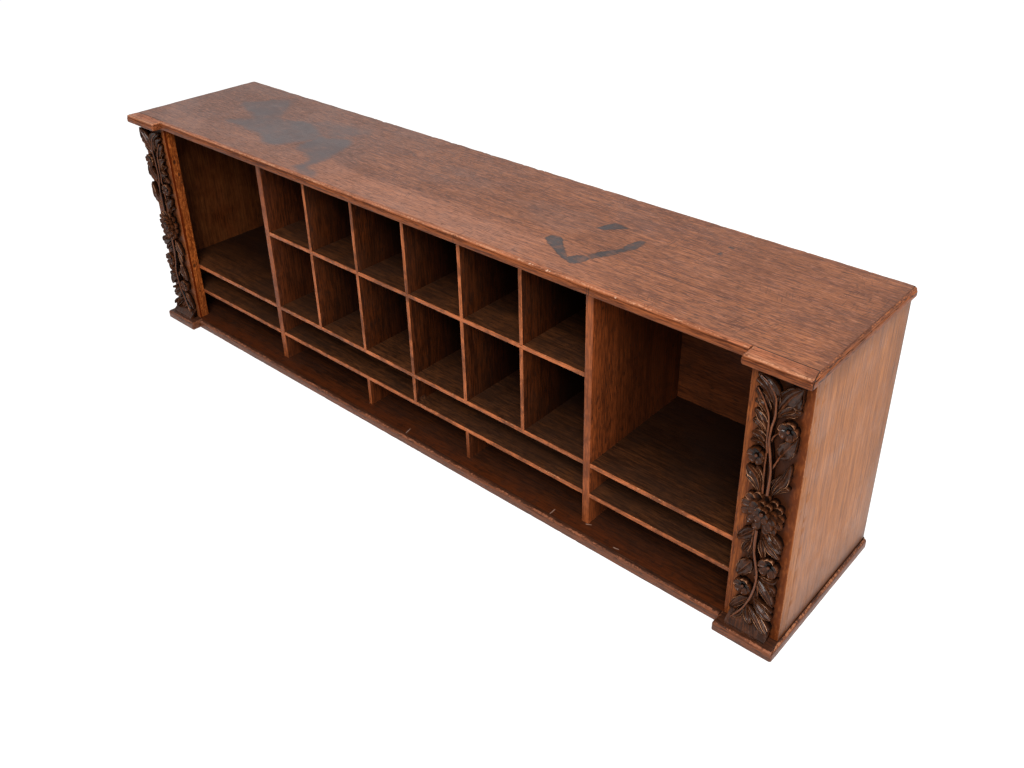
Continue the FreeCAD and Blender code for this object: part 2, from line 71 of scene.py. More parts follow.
Triple = tuple[float, float, float]
Colour = Triple
Span = tuple[float, float]   # where a soft change starts and where it ends


# ------ small maths
def ripple(points: Array, size: float, seed: int) -> Array:
    """Return smooth noise of about -1 to 1: a sum of sines along random directions.

    Args:
        points: coordinates, the last axis holding x, y and z.
        size: rough size of one ripple, in metres.
        seed: picks the directions and phases.

    Returns:
        One value per point.
    """
    rng = np.random.default_rng(seed)
    ways = rng.normal(size=(WAVES, points.shape[-1]))
    ways *= (2 * math.pi / size) * rng.uniform(0.5, 1.4, (WAVES, 1)) / np.linalg.norm(ways, axis=1)[:, None]
    phase = rng.uniform(0, 2 * math.pi, WAVES)
    return np.sin(points @ ways.T + phase).sum(-1) / math.sqrt(WAVES)


def chips(along: Array, reach: float, count: int, seed: int) -> Array:
    """Return dents of 0 to 1 along an edge: narrow bells at random places.

    Args:
        along: distance along the edge of each point.
        reach: length of the edge.
        count: number of dents.
        seed: picks their places, widths and depths.

    Returns:
        One value per point.
    """
    rng = np.random.default_rng(seed)
    place = rng.uniform(0, reach, count)
    width = rng.uniform(0.8, 3.5, count) * MM
    depth = rng.uniform(0.2, 1.0, count) ** 2
    return (depth * np.exp(-((along[..., None] - place) / width) ** 2)).sum(-1).clip(0, 1.2)


def smooth(x: Array, low: float, high: float) -> Array:
    """Return a smooth step that is 0 below low and 1 above high."""
    t = np.clip((x - low) / (high - low), 0, 1)
    return t * t * (3 - 2 * t)


def bell(x: Array, middle: float, width: float) -> Array:
    """Return a smooth bump of height 1 around a middle."""
    return np.exp(-((x - middle) / width) ** 2)


def curve(points: Array, share: Array) -> Array:
    """Return places on the smooth cubic line through the points, at shares 0 to 1.

    Each span is a Catmull-Rom cubic of its two points and their outer neighbours.

    Args:
        points: the points, in order.
        share: how far along each place is.

    Returns:
        One place per share.
    """
    padded = np.concatenate([2 * points[:1] - points[1:2], points, 2 * points[-1:] - points[-2:-1]])
    at = np.clip(share, 0, 1) * (len(points) - 1)
    i = np.minimum(at.astype(int), len(points) - 2)
    f = (at - i)[..., None]
    a, b, c, d = (padded[i + k] for k in range(4))
    return 0.5 * (2 * b + (c - a) * f + (2 * a - 5 * b + 4 * c - d) * f ** 2
                  + (3 * b - a - 3 * c + d) * f ** 3)


def depth_inside(points: Array, outline: Array) -> Array:
    """Return each point's distance from a closed outline, positive inside it.

    The distance is to the nearest side; a point is inside where a level ray from it
    crosses an odd number of sides.

    Args:
        points: places in the plane.
        outline: its corners, either way round.

    Returns:
        One distance per point.
    """
    end = np.roll(outline, -1, 0)
    side = end - outline
    away = points[:, None] - outline
    share = ((away * side).sum(-1) / (side ** 2).sum(-1)).clip(0, 1)
    gap = np.linalg.norm(away - share[..., None] * side, axis=-1).min(1)
    spans = (outline[:, 1] > points[:, 1:]) != (end[:, 1] > points[:, 1:])
    rise = np.where(side[:, 1] == 0, 1e-12, side[:, 1])
    crossing = outline[:, 0] + (points[:, 1:] - outline[:, 1]) / rise * side[:, 0]
    odd = (spans & (points[:, :1] < crossing)).sum(1) % 2 == 1
    return np.where(odd, gap, -gap)


# ------ closed surfaces
@dataclass
class Shell:
    """A closed surface: points, quads, flat caps and a value per point for each mark."""

    points: Array
    quads: Array
    caps: list[Array] = field(default_factory=list)
    marks: dict[str, Array] = field(default_factory=dict)

    @staticmethod
    def joined(shells: list["Shell"]) -> "Shell":
        """Return several shells as one.

        Args:
            shells: surfaces with the same marks.

        Returns:
            One surface that holds them all.
        """
        start = np.cumsum([0] + [len(s.points) for s in shells])
        return Shell(np.concatenate([s.points for s in shells]),
                     np.concatenate([s.quads + k for s, k in zip(shells, start)]),
                     [cap + k for s, k in zip(shells, start) for cap in s.caps],
                     {m: np.concatenate([s.marks[m] for s in shells]) for m in shells[0].marks})

    def outward(self) -> "Shell":
        """Return the shell with its faces turned outwards, by the sign of its volume.

        Returns:
            The shell itself, or a copy with every face turned.
        """
        triangles = [self.quads[:, [0, 1, 2]], self.quads[:, [0, 2, 3]]]
        for cap in self.caps:
            rest = np.arange(1, len(cap) - 1)
            triangles.append(np.stack([cap[rest * 0], cap[rest], cap[rest + 1]], 1))
        corners = (self.points - self.points.mean(0))[np.concatenate(triangles)]
        volume = np.einsum("ij,ij->i", corners[:, 0], np.cross(corners[:, 1], corners[:, 2])).sum()
        if volume >= 0:
            return self
        return Shell(self.points, self.quads[:, ::-1], [cap[::-1] for cap in self.caps], self.marks)

    def build(self, name: str, material: bpy.types.Material, slot: str, crisp: float = 38.0) -> None:
        """Put the shell into the scene in place of the CAD node of its name.

        Args:
            name: the node's name.
            material: its finish.
            slot: the record's material slot; not used.
            crisp: edges sharper than this many degrees stay crisp.
        """
        mesh = bpy.data.meshes.new(name)
        mesh.from_pydata(self.points.tolist(), [], self.quads.tolist() + [c.tolist() for c in self.caps])
        for mark, values in self.marks.items():
            layer = mesh.attributes.new(mark, "FLOAT", "POINT")
            layer.data.foreach_set("value", np.asarray(values, np.float32))
        mesh.materials.append(material)
        mesh.update()
        mesh.shade_smooth()
        mesh.set_sharp_from_angle(angle=math.radians(crisp))
        piece = bpy.data.objects.new(name + "_worn", mesh)
        bpy.context.scene.collection.objects.link(piece)
        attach(piece, BODY)
        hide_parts(name)
        LOG.info("%s: %d points", name, len(self.points))


def relief(points: Array, ground: float, pull: float, marks: dict[str, Array]) -> Shell:
    """Return a closed form: a grid of heights with walls to the ground and a flat back.

    Args:
        points: the grid, of shape (along, across, 3), the last number being the height.
        ground: height of the back.
        pull: share by which the walls' feet are drawn in towards the middle.
        marks: values on the same grid; they fade on the walls, which are marked deep for painted shade.

    Returns:
        The surface, with the mark deep, for painted shade, added.
    """
    size = points.shape[:2]
    index = np.arange(size[0] * size[1]).reshape(size)
    quads = np.stack([index[:-1, :-1], index[1:, :-1], index[1:, 1:], index[:-1, 1:]], -1).reshape(-1, 4)
    border = np.concatenate([index[0, :-1], index[:-1, -1], index[-1, :0:-1], index[:0:-1, 0]])
    grid = points.reshape(-1, 3)
    rim, count = grid[border], len(border)
    middle = rim.mean(0)
    rings, walls, before = [grid], [quads], border
    for level, fall in enumerate((0.45, 1.0)):
        ring = rim * (1 - pull * fall) + middle * pull * fall
        ring[:, 2] = rim[:, 2] * (1 - fall) + ground * fall
        here = len(grid) + level * count + np.arange(count)
        walls.append(np.stack([before, np.roll(before, -1), np.roll(here, -1), here], -1))
        rings.append(ring)
        before = here
    full = {}
    for name, values in marks.items():
        flat = np.broadcast_to(values, size).ravel()
        full[name] = np.concatenate([flat, flat[border] * 0.3, flat[border] * 0])
    # the walls are marked deep: painted shade under the carving's lifted edges; the top drops it
    wall = np.repeat([0.0, 0.6, 1.0], [len(grid), count, count])
    full["deep"] = np.maximum(wall, full.get("deep", 0))
    return Shell(np.concatenate(rings), np.concatenate(walls), [before], full)


def stacked(loops: int, count: int) -> tuple[Array, list[Array]]:
    """Return the quads between closed loops stacked upwards, and the two caps.

    Point i of loop k has the number k * count + i.

    Args:
        loops: how many there are.
        count: the points of each.

    Returns:
        The quads and the caps.
    """
    k, i = np.meshgrid(np.arange(loops - 1) * count, np.arange(count), indexing="ij")
    j = (i + 1) % count
    quads = np.stack([k + i, k + j, k + count + j, k + count + i], -1).reshape(-1, 4)
    ring = np.arange(count)
    return quads, [ring[::-1], ring + count * (loops - 1)]


def quarter(radius: float, steps: int = 5) -> Array:
    """Return rows (inset, height) of a quarter round from the underside to an upright face."""
    turn = np.linspace(0, math.pi / 2, steps)
    return radius * np.stack([1 - np.sin(turn), 1 - np.cos(turn)], 1)


def rows(profile: Array, rubbed: float | Array = 0.0, dirty: float = 0.0) -> Array:
    """Return profile rows (inset, height) with their two marks added."""
    marks = [np.broadcast_to(value, len(profile)) for value in (rubbed, dirty)]
    return np.column_stack([profile, *marks])


def square_edge(thick: float, arris: float, mids: int = 1) -> Array:
    """Return a square edge: an arris, a flat and an arris, as rows with marks.

    Args:
        thick: the board's thickness.
        arris: radius of both arrises.
        mids: how many rows the flat has.

    Returns:
        The rows, from the underside up.
    """
    low = quarter(arris, 4)
    high = low[::-1] * [1, -1] + [0, thick]
    flat = np.linspace(arris, thick - arris, mids + 2)[1:-1]
    return np.concatenate([rows(low, 0.9), rows(np.stack([flat * 0, flat], 1), 0.15), rows(high, 1.0)])


def upright_edge(height: float) -> Array:
    """Return the rows of a tall board: plain sides with a tiny bevel at both ends.

    Args:
        height: the board's height.

    Returns:
        The rows, from the underside up.
    """
    bevel = 0.15 * MM
    mids = np.linspace(bevel, height - bevel, max(4, int(height / (3 * MM))))
    return np.concatenate([rows(np.array([[bevel, 0.0]])), rows(np.stack([mids * 0, mids], 1)),
                           rows(np.array([[bevel, height]]))])


@dataclass(frozen=True)
class Corner:
    """A corner of a board's plan, and the side that runs on from it, anticlockwise."""

    x: float
    y: float
    radius: float
    worked: float = 1.0          # how far the side that starts here follows the section
    pitch: float = 14 * MM       # spacing of points along that side
    rubbed: float = 0.0          # wear of this upright corner


@dataclass
class Plate:
    """A board as closed plan loops stacked by height.

    The loop at each height is the plan, set in by the section's inset on its worked
    sides and rounded at its corners. Flat faces inside a narrow rim close both ends.
    Rubbed points are pressed in by ripples and chips.
    """

    corners: list[Corner]
    z: float
    section: Array
    wear: float
    chip: float
    rim: float
    seed: int
    clamps: tuple[Triple, ...] = ()    # outer corners (x, y, radius)
    chip_pitch: float = 0.035          # mean distance between chips
    least_round: float = 0.3 * MM      # what a clamped corner keeps of its radius
    standing: int = 30                 # a section of this many rows belongs to an upright board

    def shell(self) -> Shell:
        """Return the board's closed surface with its rubbed, front, seam and dirt marks.

        Returns:
            The surface; its caps have no marks.
        """
        inset = np.concatenate([self.section[:1, 0], self.section[:, 0], self.section[-1:, 0]])
        height = np.concatenate([self.section[:1, 1], self.section[:, 1], self.section[-1:, 1]])
        mark = np.pad(self.section[:, 2:], ((1, 1), (0, 0)))
        body = np.pad(np.ones(len(self.section)), 1)
        plan, normal, worked, rubbed = self.plan(inset, (1 - body) * self.rim)
        z = np.broadcast_to((self.z + height)[:, None], plan.shape[:2])
        points = np.concatenate([plan, z[..., None]], -1)
        rub = np.maximum(mark[:, :1] * worked, rubbed * body[:, None])
        points = self.clamped(points, inset)
        points = self.worn(points, normal, rub)
        front = smooth(-normal[:, 1], 0.4, 0.8) * body[:, None]
        marks = {"rubbed": rub, "front": front, "seam": (1 - worked) * body[:, None],
                 "dirt": mark[:, 1:] * worked}
        return Shell(points.reshape(-1, 3), *stacked(*plan.shape[:2]),
                     {m: v.ravel() for m, v in marks.items()})

    def plan(self, inset: Array, rim: Array) -> tuple[Array, ...]:
        """Return plan points for every row, and per point its normal and marks.

        A corner's centre is where its two sides cross after both move in by the inset,
        the rim and the radius. Its arc turns from one side's normal to the next one's.

        Args:
            inset: the section's inset at each row.
            rim: what is added to it at the ends.

        Returns:
            Plan points by row and point, then per point the normal, the worked and
            the rubbed share.
        """
        place = np.array([(c.x, c.y) for c in self.corners])
        step = np.roll(place, -1, 0) - place
        length = np.linalg.norm(step, axis=1)
        out = np.stack([step[:, 1], -step[:, 0]], 1) / length[:, None]
        radius = np.array([c.radius for c in self.corners])
        depth = np.array([c.worked for c in self.corners]) * inset[:, None] + rim[:, None]
        centres = []
        for i in range(len(place)):
            a, b = out[i - 1], out[i]
            ca = a @ place[i] - depth[:, i - 1] - radius[i]
            cb = b @ place[i] - depth[:, i] - radius[i]
            cross = a[0] * b[1] - a[1] * b[0]
            centres.append(np.stack([(ca * b[1] - cb * a[1]) / cross, (a[0] * cb - b[0] * ca) / cross], -1))
        points, normals, worked, rubbed = [], [], [], []
        for i, corner in enumerate(self.corners):
            j = (i + 1) % len(place)
            turn0 = math.atan2(out[i - 1][1], out[i - 1][0])
            sweep = (math.atan2(out[i][1], out[i][0]) - turn0 + math.pi) % (2 * math.pi) - math.pi
            turn = turn0 + sweep * (np.linspace(0, 1, 5) if radius[i] else np.array([0.5]))
            way = np.stack([np.cos(turn), np.sin(turn)], -1)
            points.append(centres[i][:, None] + radius[i] * way)
            normals.append(way)
            before = self.corners[i - 1].worked
            worked.append(np.full(len(turn), max(before, corner.worked)))
            fade = np.sin(np.linspace(0, math.pi, len(turn))) if len(turn) > 1 else np.ones(1)
            rubbed.append(corner.rubbed * fade)
            count = max(1, int(length[i] / corner.pitch))
            share = np.linspace(0, 1, count + 2)[1:-1, None]
            start = centres[i][:, None] + radius[i] * out[i]
            end = centres[j][:, None] + radius[j] * out[i]
            points.append(start * (1 - share) + end * share)
            normals.append(np.repeat(out[i][None], count, 0))
            worked.append(np.full(count, corner.worked))
            rubbed.append(np.zeros(count))
        return (np.concatenate(points, 1), np.concatenate(normals), np.concatenate(worked),
                np.concatenate(rubbed))

    def clamped(self, points: Array, inset: Array) -> Array:
        """Return the points with each clamp's outer corner drawn onto its round.

        Args:
            points: the points, by row.
            inset: the section's inset at each row.

        Returns:
            The moved points.
        """
        points = points.copy()
        for x, y, radius in self.clamps:
            way = np.sign([x, y])
            left = np.maximum(radius - inset, self.least_round)
            centre = np.array([x, y]) - way * (inset + left)[:, None]
            away = points[..., :2] - centre[:, None]
            beyond = (away * way > 0).all(-1)
            reach = np.linalg.norm(away, axis=-1)
            scale = np.where(beyond & (reach > left[:, None]), left[:, None] / np.maximum(reach, 1e-9), 1)
            points[..., :2] = centre[:, None] + away * scale[..., None]
        return points

    def worn(self, points: Array, normal: Array, rub: Array) -> Array:
        """Return the points with rubbed places pressed in by ripples and chips.

        Args:
            points: the points, by row.
            normal: the plan's normal at each point.
            rub: how rubbed each point is.

        Returns:
            The moved points.
        """
        along = points[..., 0] + points[..., 1] * 0.7 + points[..., 2]
        loss = self.wear * (0.5 + 0.4 * ripple(points, 16 * MM, self.seed)
                            + 0.5 * ripple(points, 70 * MM, self.seed + 1))
        if self.chip:
            start, reach = float(along.min()), float(np.ptp(along))
            count = int(reach / self.chip_pitch)
            loss = loss + self.chip * chips(along - start, reach, count, self.seed + 2)
        loss = np.maximum(loss, 0) * rub
        middle = (self.section[0, 1] + self.section[-1, 1]) / 2 + self.z
        points = points.copy()
        points[..., :2] -= normal * loss[..., None]
        if len(self.section) < self.standing:
            points[..., 2] -= np.sign(points[..., 2] - middle) * loss * 0.6
        return points


# ------ shader helpers
class Wire:
    """A value in a node tree; arithmetic on it adds Math nodes."""

    def __init__(self, graph: "Graph", socket: bpy.types.NodeSocket) -> None:
        """Keep the graph and the socket that puts the value out."""
        self.graph = graph
        self.socket = socket

    def __add__(self, other: "Wire | float") -> "Wire":
        """Return the sum."""
        return self.graph.math("ADD", self, other)

    __radd__ = __add__

    def __sub__(self, other: "Wire | float") -> "Wire":
        """Return the difference."""
        return self.graph.math("SUBTRACT", self, other)

    def __rsub__(self, other: float) -> "Wire":
        """Return a number less this value."""
        return self.graph.math("SUBTRACT", other, self)

    def __mul__(self, other: "Wire | float") -> "Wire":
        """Return the product."""
        return self.graph.math("MULTIPLY", self, other)

    __rmul__ = __mul__

    def __abs__(self) -> "Wire":
        """Return the value without its sign."""
        return self.graph.math("ABSOLUTE", self)

    def top(self, other: "Wire | float") -> "Wire":
        """Return the greater of the two."""
        return self.graph.math("MAXIMUM", self, other)


Wires = dict[str, Wire]


class Graph:
    """Short ways to add and join the nodes of one tree."""

    def __init__(self, tree: bpy.types.NodeTree) -> None:
        """Keep the tree."""
        self.tree = tree

    def put(self, socket: bpy.types.NodeSocket, value: object) -> None:
        """Give a socket a link or a plain value.

        Args:
            socket: the socket to feed.
            value: a wire, a number, a colour or a vector.
        """
        if isinstance(value, Wire):
            self.tree.links.new(value.socket, socket)
        elif isinstance(value, tuple) and len(value) == 3 and socket.type == "RGBA":
            socket.default_value = (*value, 1.0)
        else:
            socket.default_value = value

    def add(self, kind: str, out: int | str = 0, settings: dict[str, object] | None = None,
            **inputs: object) -> Wire:
        """Add a node and return one of its outputs.

        Args:
            kind: the node's type, without its first word "ShaderNode".
            out: which output to return.
            settings: the node's own properties.
            inputs: socket values by name, with _ for a space, or by number as n0, n1.

        Returns:
            The chosen output.
        """
        node = self.tree.nodes.new("ShaderNode" + kind)
        for key, value in (settings or {}).items():
            setattr(node, key, value)
        for key, value in inputs.items():
            at = int(key[1:]) if key[0] == "n" and key[1:].isdigit() else key.replace("_", " ")
            self.put(node.inputs[at], value)
        return Wire(self, node.outputs[out])

    def math(self, how: str, *values: "Wire | float") -> Wire:
        """Return a Math node's result."""
        return self.add("Math", 0, {"operation": how}, **{"n%d" % i: v for i, v in enumerate(values)})

    def mix(self, share: "Wire | float", low: object, high: object) -> Wire:
        """Return a colour between two colours."""
        return self.add("Mix", 2, {"data_type": "RGBA", "clamp_factor": True}, n0=share, n6=low, n7=high)

    def step(self, value: Wire, low: float, high: float, start: float = 0.0, end: float = 1.0) -> Wire:
        """Return a smooth step of a value, from start at low to end at high."""
        return self.add("MapRange", 0, {"interpolation_type": "SMOOTHSTEP"}, Value=value,
                        From_Min=low, From_Max=high, To_Min=start, To_Max=end)

    def stretch(self, vector: Wire, scale: Triple,
                shift: Triple = (0, 0, 0)) -> Wire:
        """Return a vector moved and scaled along its axes."""
        return self.add("Mapping", 0, None, Vector=vector, Location=shift, Scale=scale)

    def noise(self, vector: Wire, scale: float = 1.0, detail: float = 2.0, rough: float = 0.5,
              twist: float = 0.0) -> Wire:
        """Return smooth noise around one half."""
        return self.add("TexNoise", 0, None, Vector=vector, Scale=scale, Detail=detail,
                        Roughness=rough, Distortion=twist)

    def dot(self, one: "Wire", other: object) -> Wire:
        """Return the dot product of two vectors."""
        return self.add("VectorMath", "Value", {"operation": "DOT_PRODUCT"}, n0=one, n1=other)

    def bump(self, strength: float, depth: float, height: Wire) -> Wire:
        """Return the normal that a height gives."""
        return self.add("Bump", 0, None, Strength=strength, Distance=depth, Height=height)

    def mark(self, name: str) -> Wire:
        """Return a mesh attribute's value."""
        return self.add("Attribute", "Fac", {"attribute_name": name})

    def split(self, vector: Wire) -> list[Wire]:
        """Return a vector's three numbers."""
        first = self.add("SeparateXYZ", 0, None, Vector=vector)
        return [Wire(self, first.socket.node.outputs[i]) for i in range(3)]

    def join(self, x: Wire, y: Wire, z: Wire) -> Wire:
        """Return a vector of three numbers."""
        return self.add("CombineXYZ", 0, None, X=x, Y=y, Z=z)

    def group(self, effect: "Effect", **inputs: object) -> Wires:
        """Place a shared effect and return its outputs by name.

        Args:
            effect: the effect to place.
            inputs: socket values by name.

        Returns:
            Its outputs by name.
        """
        node = self.tree.nodes.new("ShaderNodeGroup")
        node.node_tree = effect.tree()
        for key, value in inputs.items():
            self.put(node.inputs[key], value)
        return {socket.name: Wire(self, socket) for socket in node.outputs}


class Face(NamedTuple):
    """A surface while it is coloured: where it is, its colour so far and its grain."""

    g: Graph
    place: Wire
    colour: Wire
    tone: Wire                   # the grain, from dark to light


@dataclass(frozen=True)
class Effect:
    """A node group that materials share: its sockets and what fills it."""

    name: str
    takes: tuple[tuple[str, str, object], ...]     # (name, kind, default)
    gives: tuple[str, ...]
    fill: Callable[[Graph, Wires], Wires]

    def tree(self) -> bpy.types.NodeTree:
        """Return the group, made the first time that it is asked for.

        Returns:
            The group's node tree.
        """
        made = bpy.data.node_groups.get(self.name)
        if made:
            return made
        tree = bpy.data.node_groups.new(self.name, "ShaderNodeTree")
        for name, kind, default in self.takes:
            socket = tree.interface.new_socket(name, in_out="INPUT", socket_type="NodeSocket" + kind)
            if default is not None:
                socket.default_value = default
        for name in self.gives:
            tree.interface.new_socket(name, in_out="OUTPUT", socket_type="NodeSocketFloat")
        graph = Graph(tree)
        entry = tree.nodes.new("NodeGroupInput")
        leave = tree.nodes.new("NodeGroupOutput")
        results = self.fill(graph, {s.name: Wire(graph, s) for s in entry.outputs if s.name})
        for name in self.gives:
            graph.put(leave.inputs[name], results[name])
        return tree


# ------ shared effects
# Painted shade with grime inside the case: it deepens towards the back.
GRIME_AND_SHADE_DEPTH: Span = (-0.1, 0.02)    # y from where grime starts to where it is full
PILASTER_JOINT = -0.0918             # y of the joint between end panel and pilaster


def fill_oak(g: Graph, i: Wires) -> Wires:
    """Fill the oak group: streaks that run along the vector's X, and short open pores.

    Args:
        g: the group's graph.
        i: its inputs by name.

    Returns:
        Its outputs by name.
    """
    figure = g.noise(g.stretch(i["Place"], (2.4, 30, 30)), 1, 3, 0.55, 0.9)
    bands = g.noise(g.stretch(i["Place"], (6, 170, 170), (3, 1, 2)), 1, 3, 0.62, 0.3)
    streaks = g.noise(g.stretch(i["Place"], (21, 400, 400), (2, 9, 5)), 1, 3, 0.65)
    fibre = g.noise(g.stretch(i["Place"], (52, 720, 720), (7, 5, 1)), 1, 2, 0.65)
    pore = g.noise(g.stretch(i["Place"], (75, 620, 620), (1, 8, 4)), 1, 1, 0.5)
    open_grain = g.step(g.noise(g.stretch(i["Place"], (9, 45, 45), (5, 2, 8)), 1, 2), 0.36, 0.6)
    pores = g.step(pore, 0.56, 0.63) * (open_grain * 0.75 + 0.25)
    tone = (g.step(figure, 0.34, 0.66) * 0.16 + g.step(bands, 0.34, 0.66) * 0.19
            + g.step(streaks, 0.37, 0.63) * 0.33 + g.step(fibre, 0.38, 0.62) * 0.32)
    return {"Tone": g.step(tone, 0.14, 0.86), "Fibre": g.step(fibre, 0.3, 0.7), "Pores": pores,
            "Height": fibre * 0.5 + streaks * 0.5 - pores * 0.8}


def fill_patches(g: Graph, i: Wires) -> Wires:
    """Fill the patches group: broad uneven areas, some large and some small.

    Args:
        g: the group's graph.
        i: its inputs by name.

    Returns:
        Its outputs by name.
    """
    broad = g.noise(i["Place"], 7.0, 3, 0.6, 0.6)
    small = g.noise(g.stretch(i["Place"], (1, 1, 1), (2, 3, 5)), 38.0, 3, 0.65, 0.3)
    return {"Mask": g.step(broad * 0.65 + small * 0.35, 0.42, 0.6), "Small": g.step(small, 0.4, 0.65)}


def fill_rub(g: Graph, i: Wires) -> Wires:
    """Fill the rub group: a mark broken up into worn stretches, with paler nicks in them.

    Args:
        g: the group's graph.
        i: its inputs by name.

    Returns:
        Its outputs by name.
    """
    coarse = g.noise(i["Place"], 26.0, 3, 0.65)
    fine = g.noise(i["Place"], 330.0, 2, 0.6)
    worn = i["Mark"] * ((coarse - 0.5) * 2.4 + (fine - 0.5) * i["Ragged"] + i["Amount"] + 0.5)
    return {"Mask": g.step(worn, 0.25, 0.8), "Nicks": g.step(worn * 0.5 + fine * 0.6, 0.58, 0.72)}


def fill_joint(g: Graph, i: Wires) -> Wires:
    """Fill the joint group: a dark line where a plane crosses the surface, between two ends.

    Args:
        g: the group's graph.
        i: its inputs by name.

    Returns:
        Its outputs by name.
    """
    x, y, z = g.split(i["Place"])
    place = g.join(abs(x), y, z)
    wobble = (g.noise(place, 90.0, 2) - 0.5) * 0.0006
    away = abs(g.dot(place, i["Across"]) - i["Offset"] + wobble)
    along = g.dot(place, i["Along"])
    line = g.math("LESS_THAN", away, i["Width"])
    inside = g.math("GREATER_THAN", along, i["Start"]) * g.math("LESS_THAN", along, i["End"])
    return {"Mask": line * inside}


def fill_scratches(g: Graph, i: Wires) -> Wires:
    """Fill the scratches group: short thin dashes, mostly across the grain, in clusters.

    Args:
        g: the group's graph.
        i: its inputs by name.

    Returns:
        Its outputs by name.
    """
    lines = []
    for turn, seed in ((1.5, 1.0), (-0.75, 9.0), (1.72, 4.0), (1.1, 6.0)):
        turned = g.add("VectorRotate", 0, {"rotation_type": "Z_AXIS"}, Vector=i["Place"], Angle=turn)
        dash = g.noise(g.stretch(turned, (75, 640, 1), (seed, 0, 0)), 1, 0, 0.5)
        cluster = g.noise(g.stretch(turned, (14, 14, 1), (0, seed, 0)), 1, 1)
        lines.append(g.step(dash, 0.63, 0.72) * g.step(cluster, 0.62, 0.7))
    return {"Mask": lines[0].top(lines[1]).top(lines[2].top(lines[3]))}


def fill_grime_and_shade(g: Graph, i: Wires) -> Wires:
    """Fill the grime and shade group: painted shade with grime, thicker deeper inside the case.

    Args:
        g: the group's graph.
        i: its inputs by name.

    Returns:
        Its outputs by name.
    """
    _, y, _ = g.split(i["Place"])
    cloud = g.noise(i["Place"], 26.0, 3, 0.6) * 0.05
    return {"Mask": g.step(y + cloud - 0.025, *GRIME_AND_SHADE_DEPTH)}


def fill_outer_face(g: Graph, i: Wires) -> Wires:
    """Fill the outer face group: upright streaks; painted shade with grime at foot and head; darker rear.

    Args:
        g: the group's graph.
        i: its inputs by name.

    Returns:
        Its outputs by name.
    """
    _, y, z = g.split(i["Place"])
    cloud = g.noise(i["Place"], 13.0, 3, 0.6) - 0.5
    hair = g.noise(g.stretch(i["Place"], (1, 360, 13)), 1, 3, 0.65)
    fine = g.noise(g.stretch(i["Place"], (1, 820, 38), (0, 5, 2)), 1, 2, 0.6)
    pale = g.noise(g.stretch(i["Place"], (1, 60, 3), (0, 2, 7)), 1, 3, 0.6)
    joint = g.step(abs(y - PILASTER_JOINT + cloud * 0.004), 0.0022, 0.0005)
    streak = g.step(hair, 0.5, 0.63) * 0.55 + g.step(fine, 0.5, 0.62) * 0.42 - 0.06
    # painted shade with grime at the foot and under the top's overhang; darker towards the rear
    foot = g.step(z + cloud * 0.008, 0.050, 0.014, 0, 0.95)
    foot = foot.top(g.step(z + cloud * 0.04, 0.105, 0.025, 0, 0.45))
    head = g.step(z + cloud * 0.03, 0.355, 0.396, 0, 0.45)
    rear = g.step(y + cloud * 0.05, 0.07, 0.128, 0, 0.3).top(g.step(y, 0.1262, 0.1305, 0, 0.8))
    return {"Streak": streak.top(joint * g.step(hair, 0.35, 0.6) * 0.6), "Brown": foot.top(head).top(rear),
            "Pale": g.step(pale, 0.45, 0.65)}


PLACE = ("Place", "Vector", None)
OAK_GRAIN = Effect("oak_grain", (PLACE,), ("Tone", "Fibre", "Pores", "Height"), fill_oak)
PATCHES = Effect("patches", (PLACE,), ("Mask", "Small"), fill_patches)
RUB = Effect("rubbed_places", (PLACE, ("Mark", "Float", 0.0), ("Amount", "Float", 0.0),
                               ("Ragged", "Float", 2.0)), ("Mask", "Nicks"), fill_rub)
JOINT = Effect("joint_line", (PLACE, ("Across", "Vector", None), ("Offset", "Float", 0.0),
                              ("Along", "Vector", None), ("Start", "Float", 0.0), ("End", "Float", 1.0),
                              ("Width", "Float", 0.0005)), ("Mask",), fill_joint)
SCRATCHES = Effect("scratches", (PLACE,), ("Mask",), fill_scratches)
GRIME_AND_SHADE = Effect("grime_and_shade", (PLACE,), ("Mask",), fill_grime_and_shade)
OUTER_FACE = Effect("outer_face", (PLACE,), ("Streak", "Brown", "Pale"), fill_outer_face)
TAN_LIGHT: Colour = (0.52, 0.190, 0.056)
TAN_DARK: Colour = (0.31, 0.100, 0.026)
TAN_STREAK: Colour = (0.15, 0.054, 0.021)
# painted shade and grime at the outer faces' foot, head and rear
TAN_SHADE_AND_GRIME: Colour = (0.075, 0.020, 0.004)


def outer_face(on: Face) -> Wire:
    """Return the tan of the case's outer faces, with its streaks and borders of painted shade and grime.

    Args:
        on: the surface, its grain running up.

    Returns:
        The colour.
    """
    face = on.g.group(OUTER_FACE, Place=on.place)
    colour = on.g.mix(on.tone * 0.7 + face["Pale"] * 0.3, TAN_DARK, TAN_LIGHT)
    colour = on.g.mix(face["Streak"], colour, TAN_STREAK)
    return on.g.mix(face["Brown"], colour, TAN_SHADE_AND_GRIME)


# ------ finishes
class Grain(Enum):
    """The axis that a board's grain follows."""

    X = 0
    Y = 1
    Z = 2


@dataclass(frozen=True)
class Joint:
    """A joint line drawn on a surface, the same at both ends of the cabinet.

    It is where the dot product with `across` is `offset`, while the one with `along`
    lies between `start` and `end`.
    """

    across: Triple
    offset: float
    along: Triple
    start: float
    end: float
    half_width: float = 0.45 * MM


@dataclass(frozen=True)
class Finish:
    """A material that is made once, and that each kind of finish fills in its own way."""

    name: str

    def build(self) -> bpy.types.Material:
        """Return the material, made the first time that it is asked for.

        Returns:
            The material.
        """
        made = bpy.data.materials.get(self.name)
        if made:
            return made
        material = bpy.data.materials.new(self.name)
        material.use_nodes = True
        tree = material.node_tree
        graph = Graph(tree)
        self.fill(graph, graph.add("TexCoord", "Object"), tree.nodes["Principled BSDF"].inputs)
        return material

    def fill(self, g: Graph, place: Wire, sockets: Sockets) -> None:
        """Feed the shader's sockets."""
        raise NotImplementedError


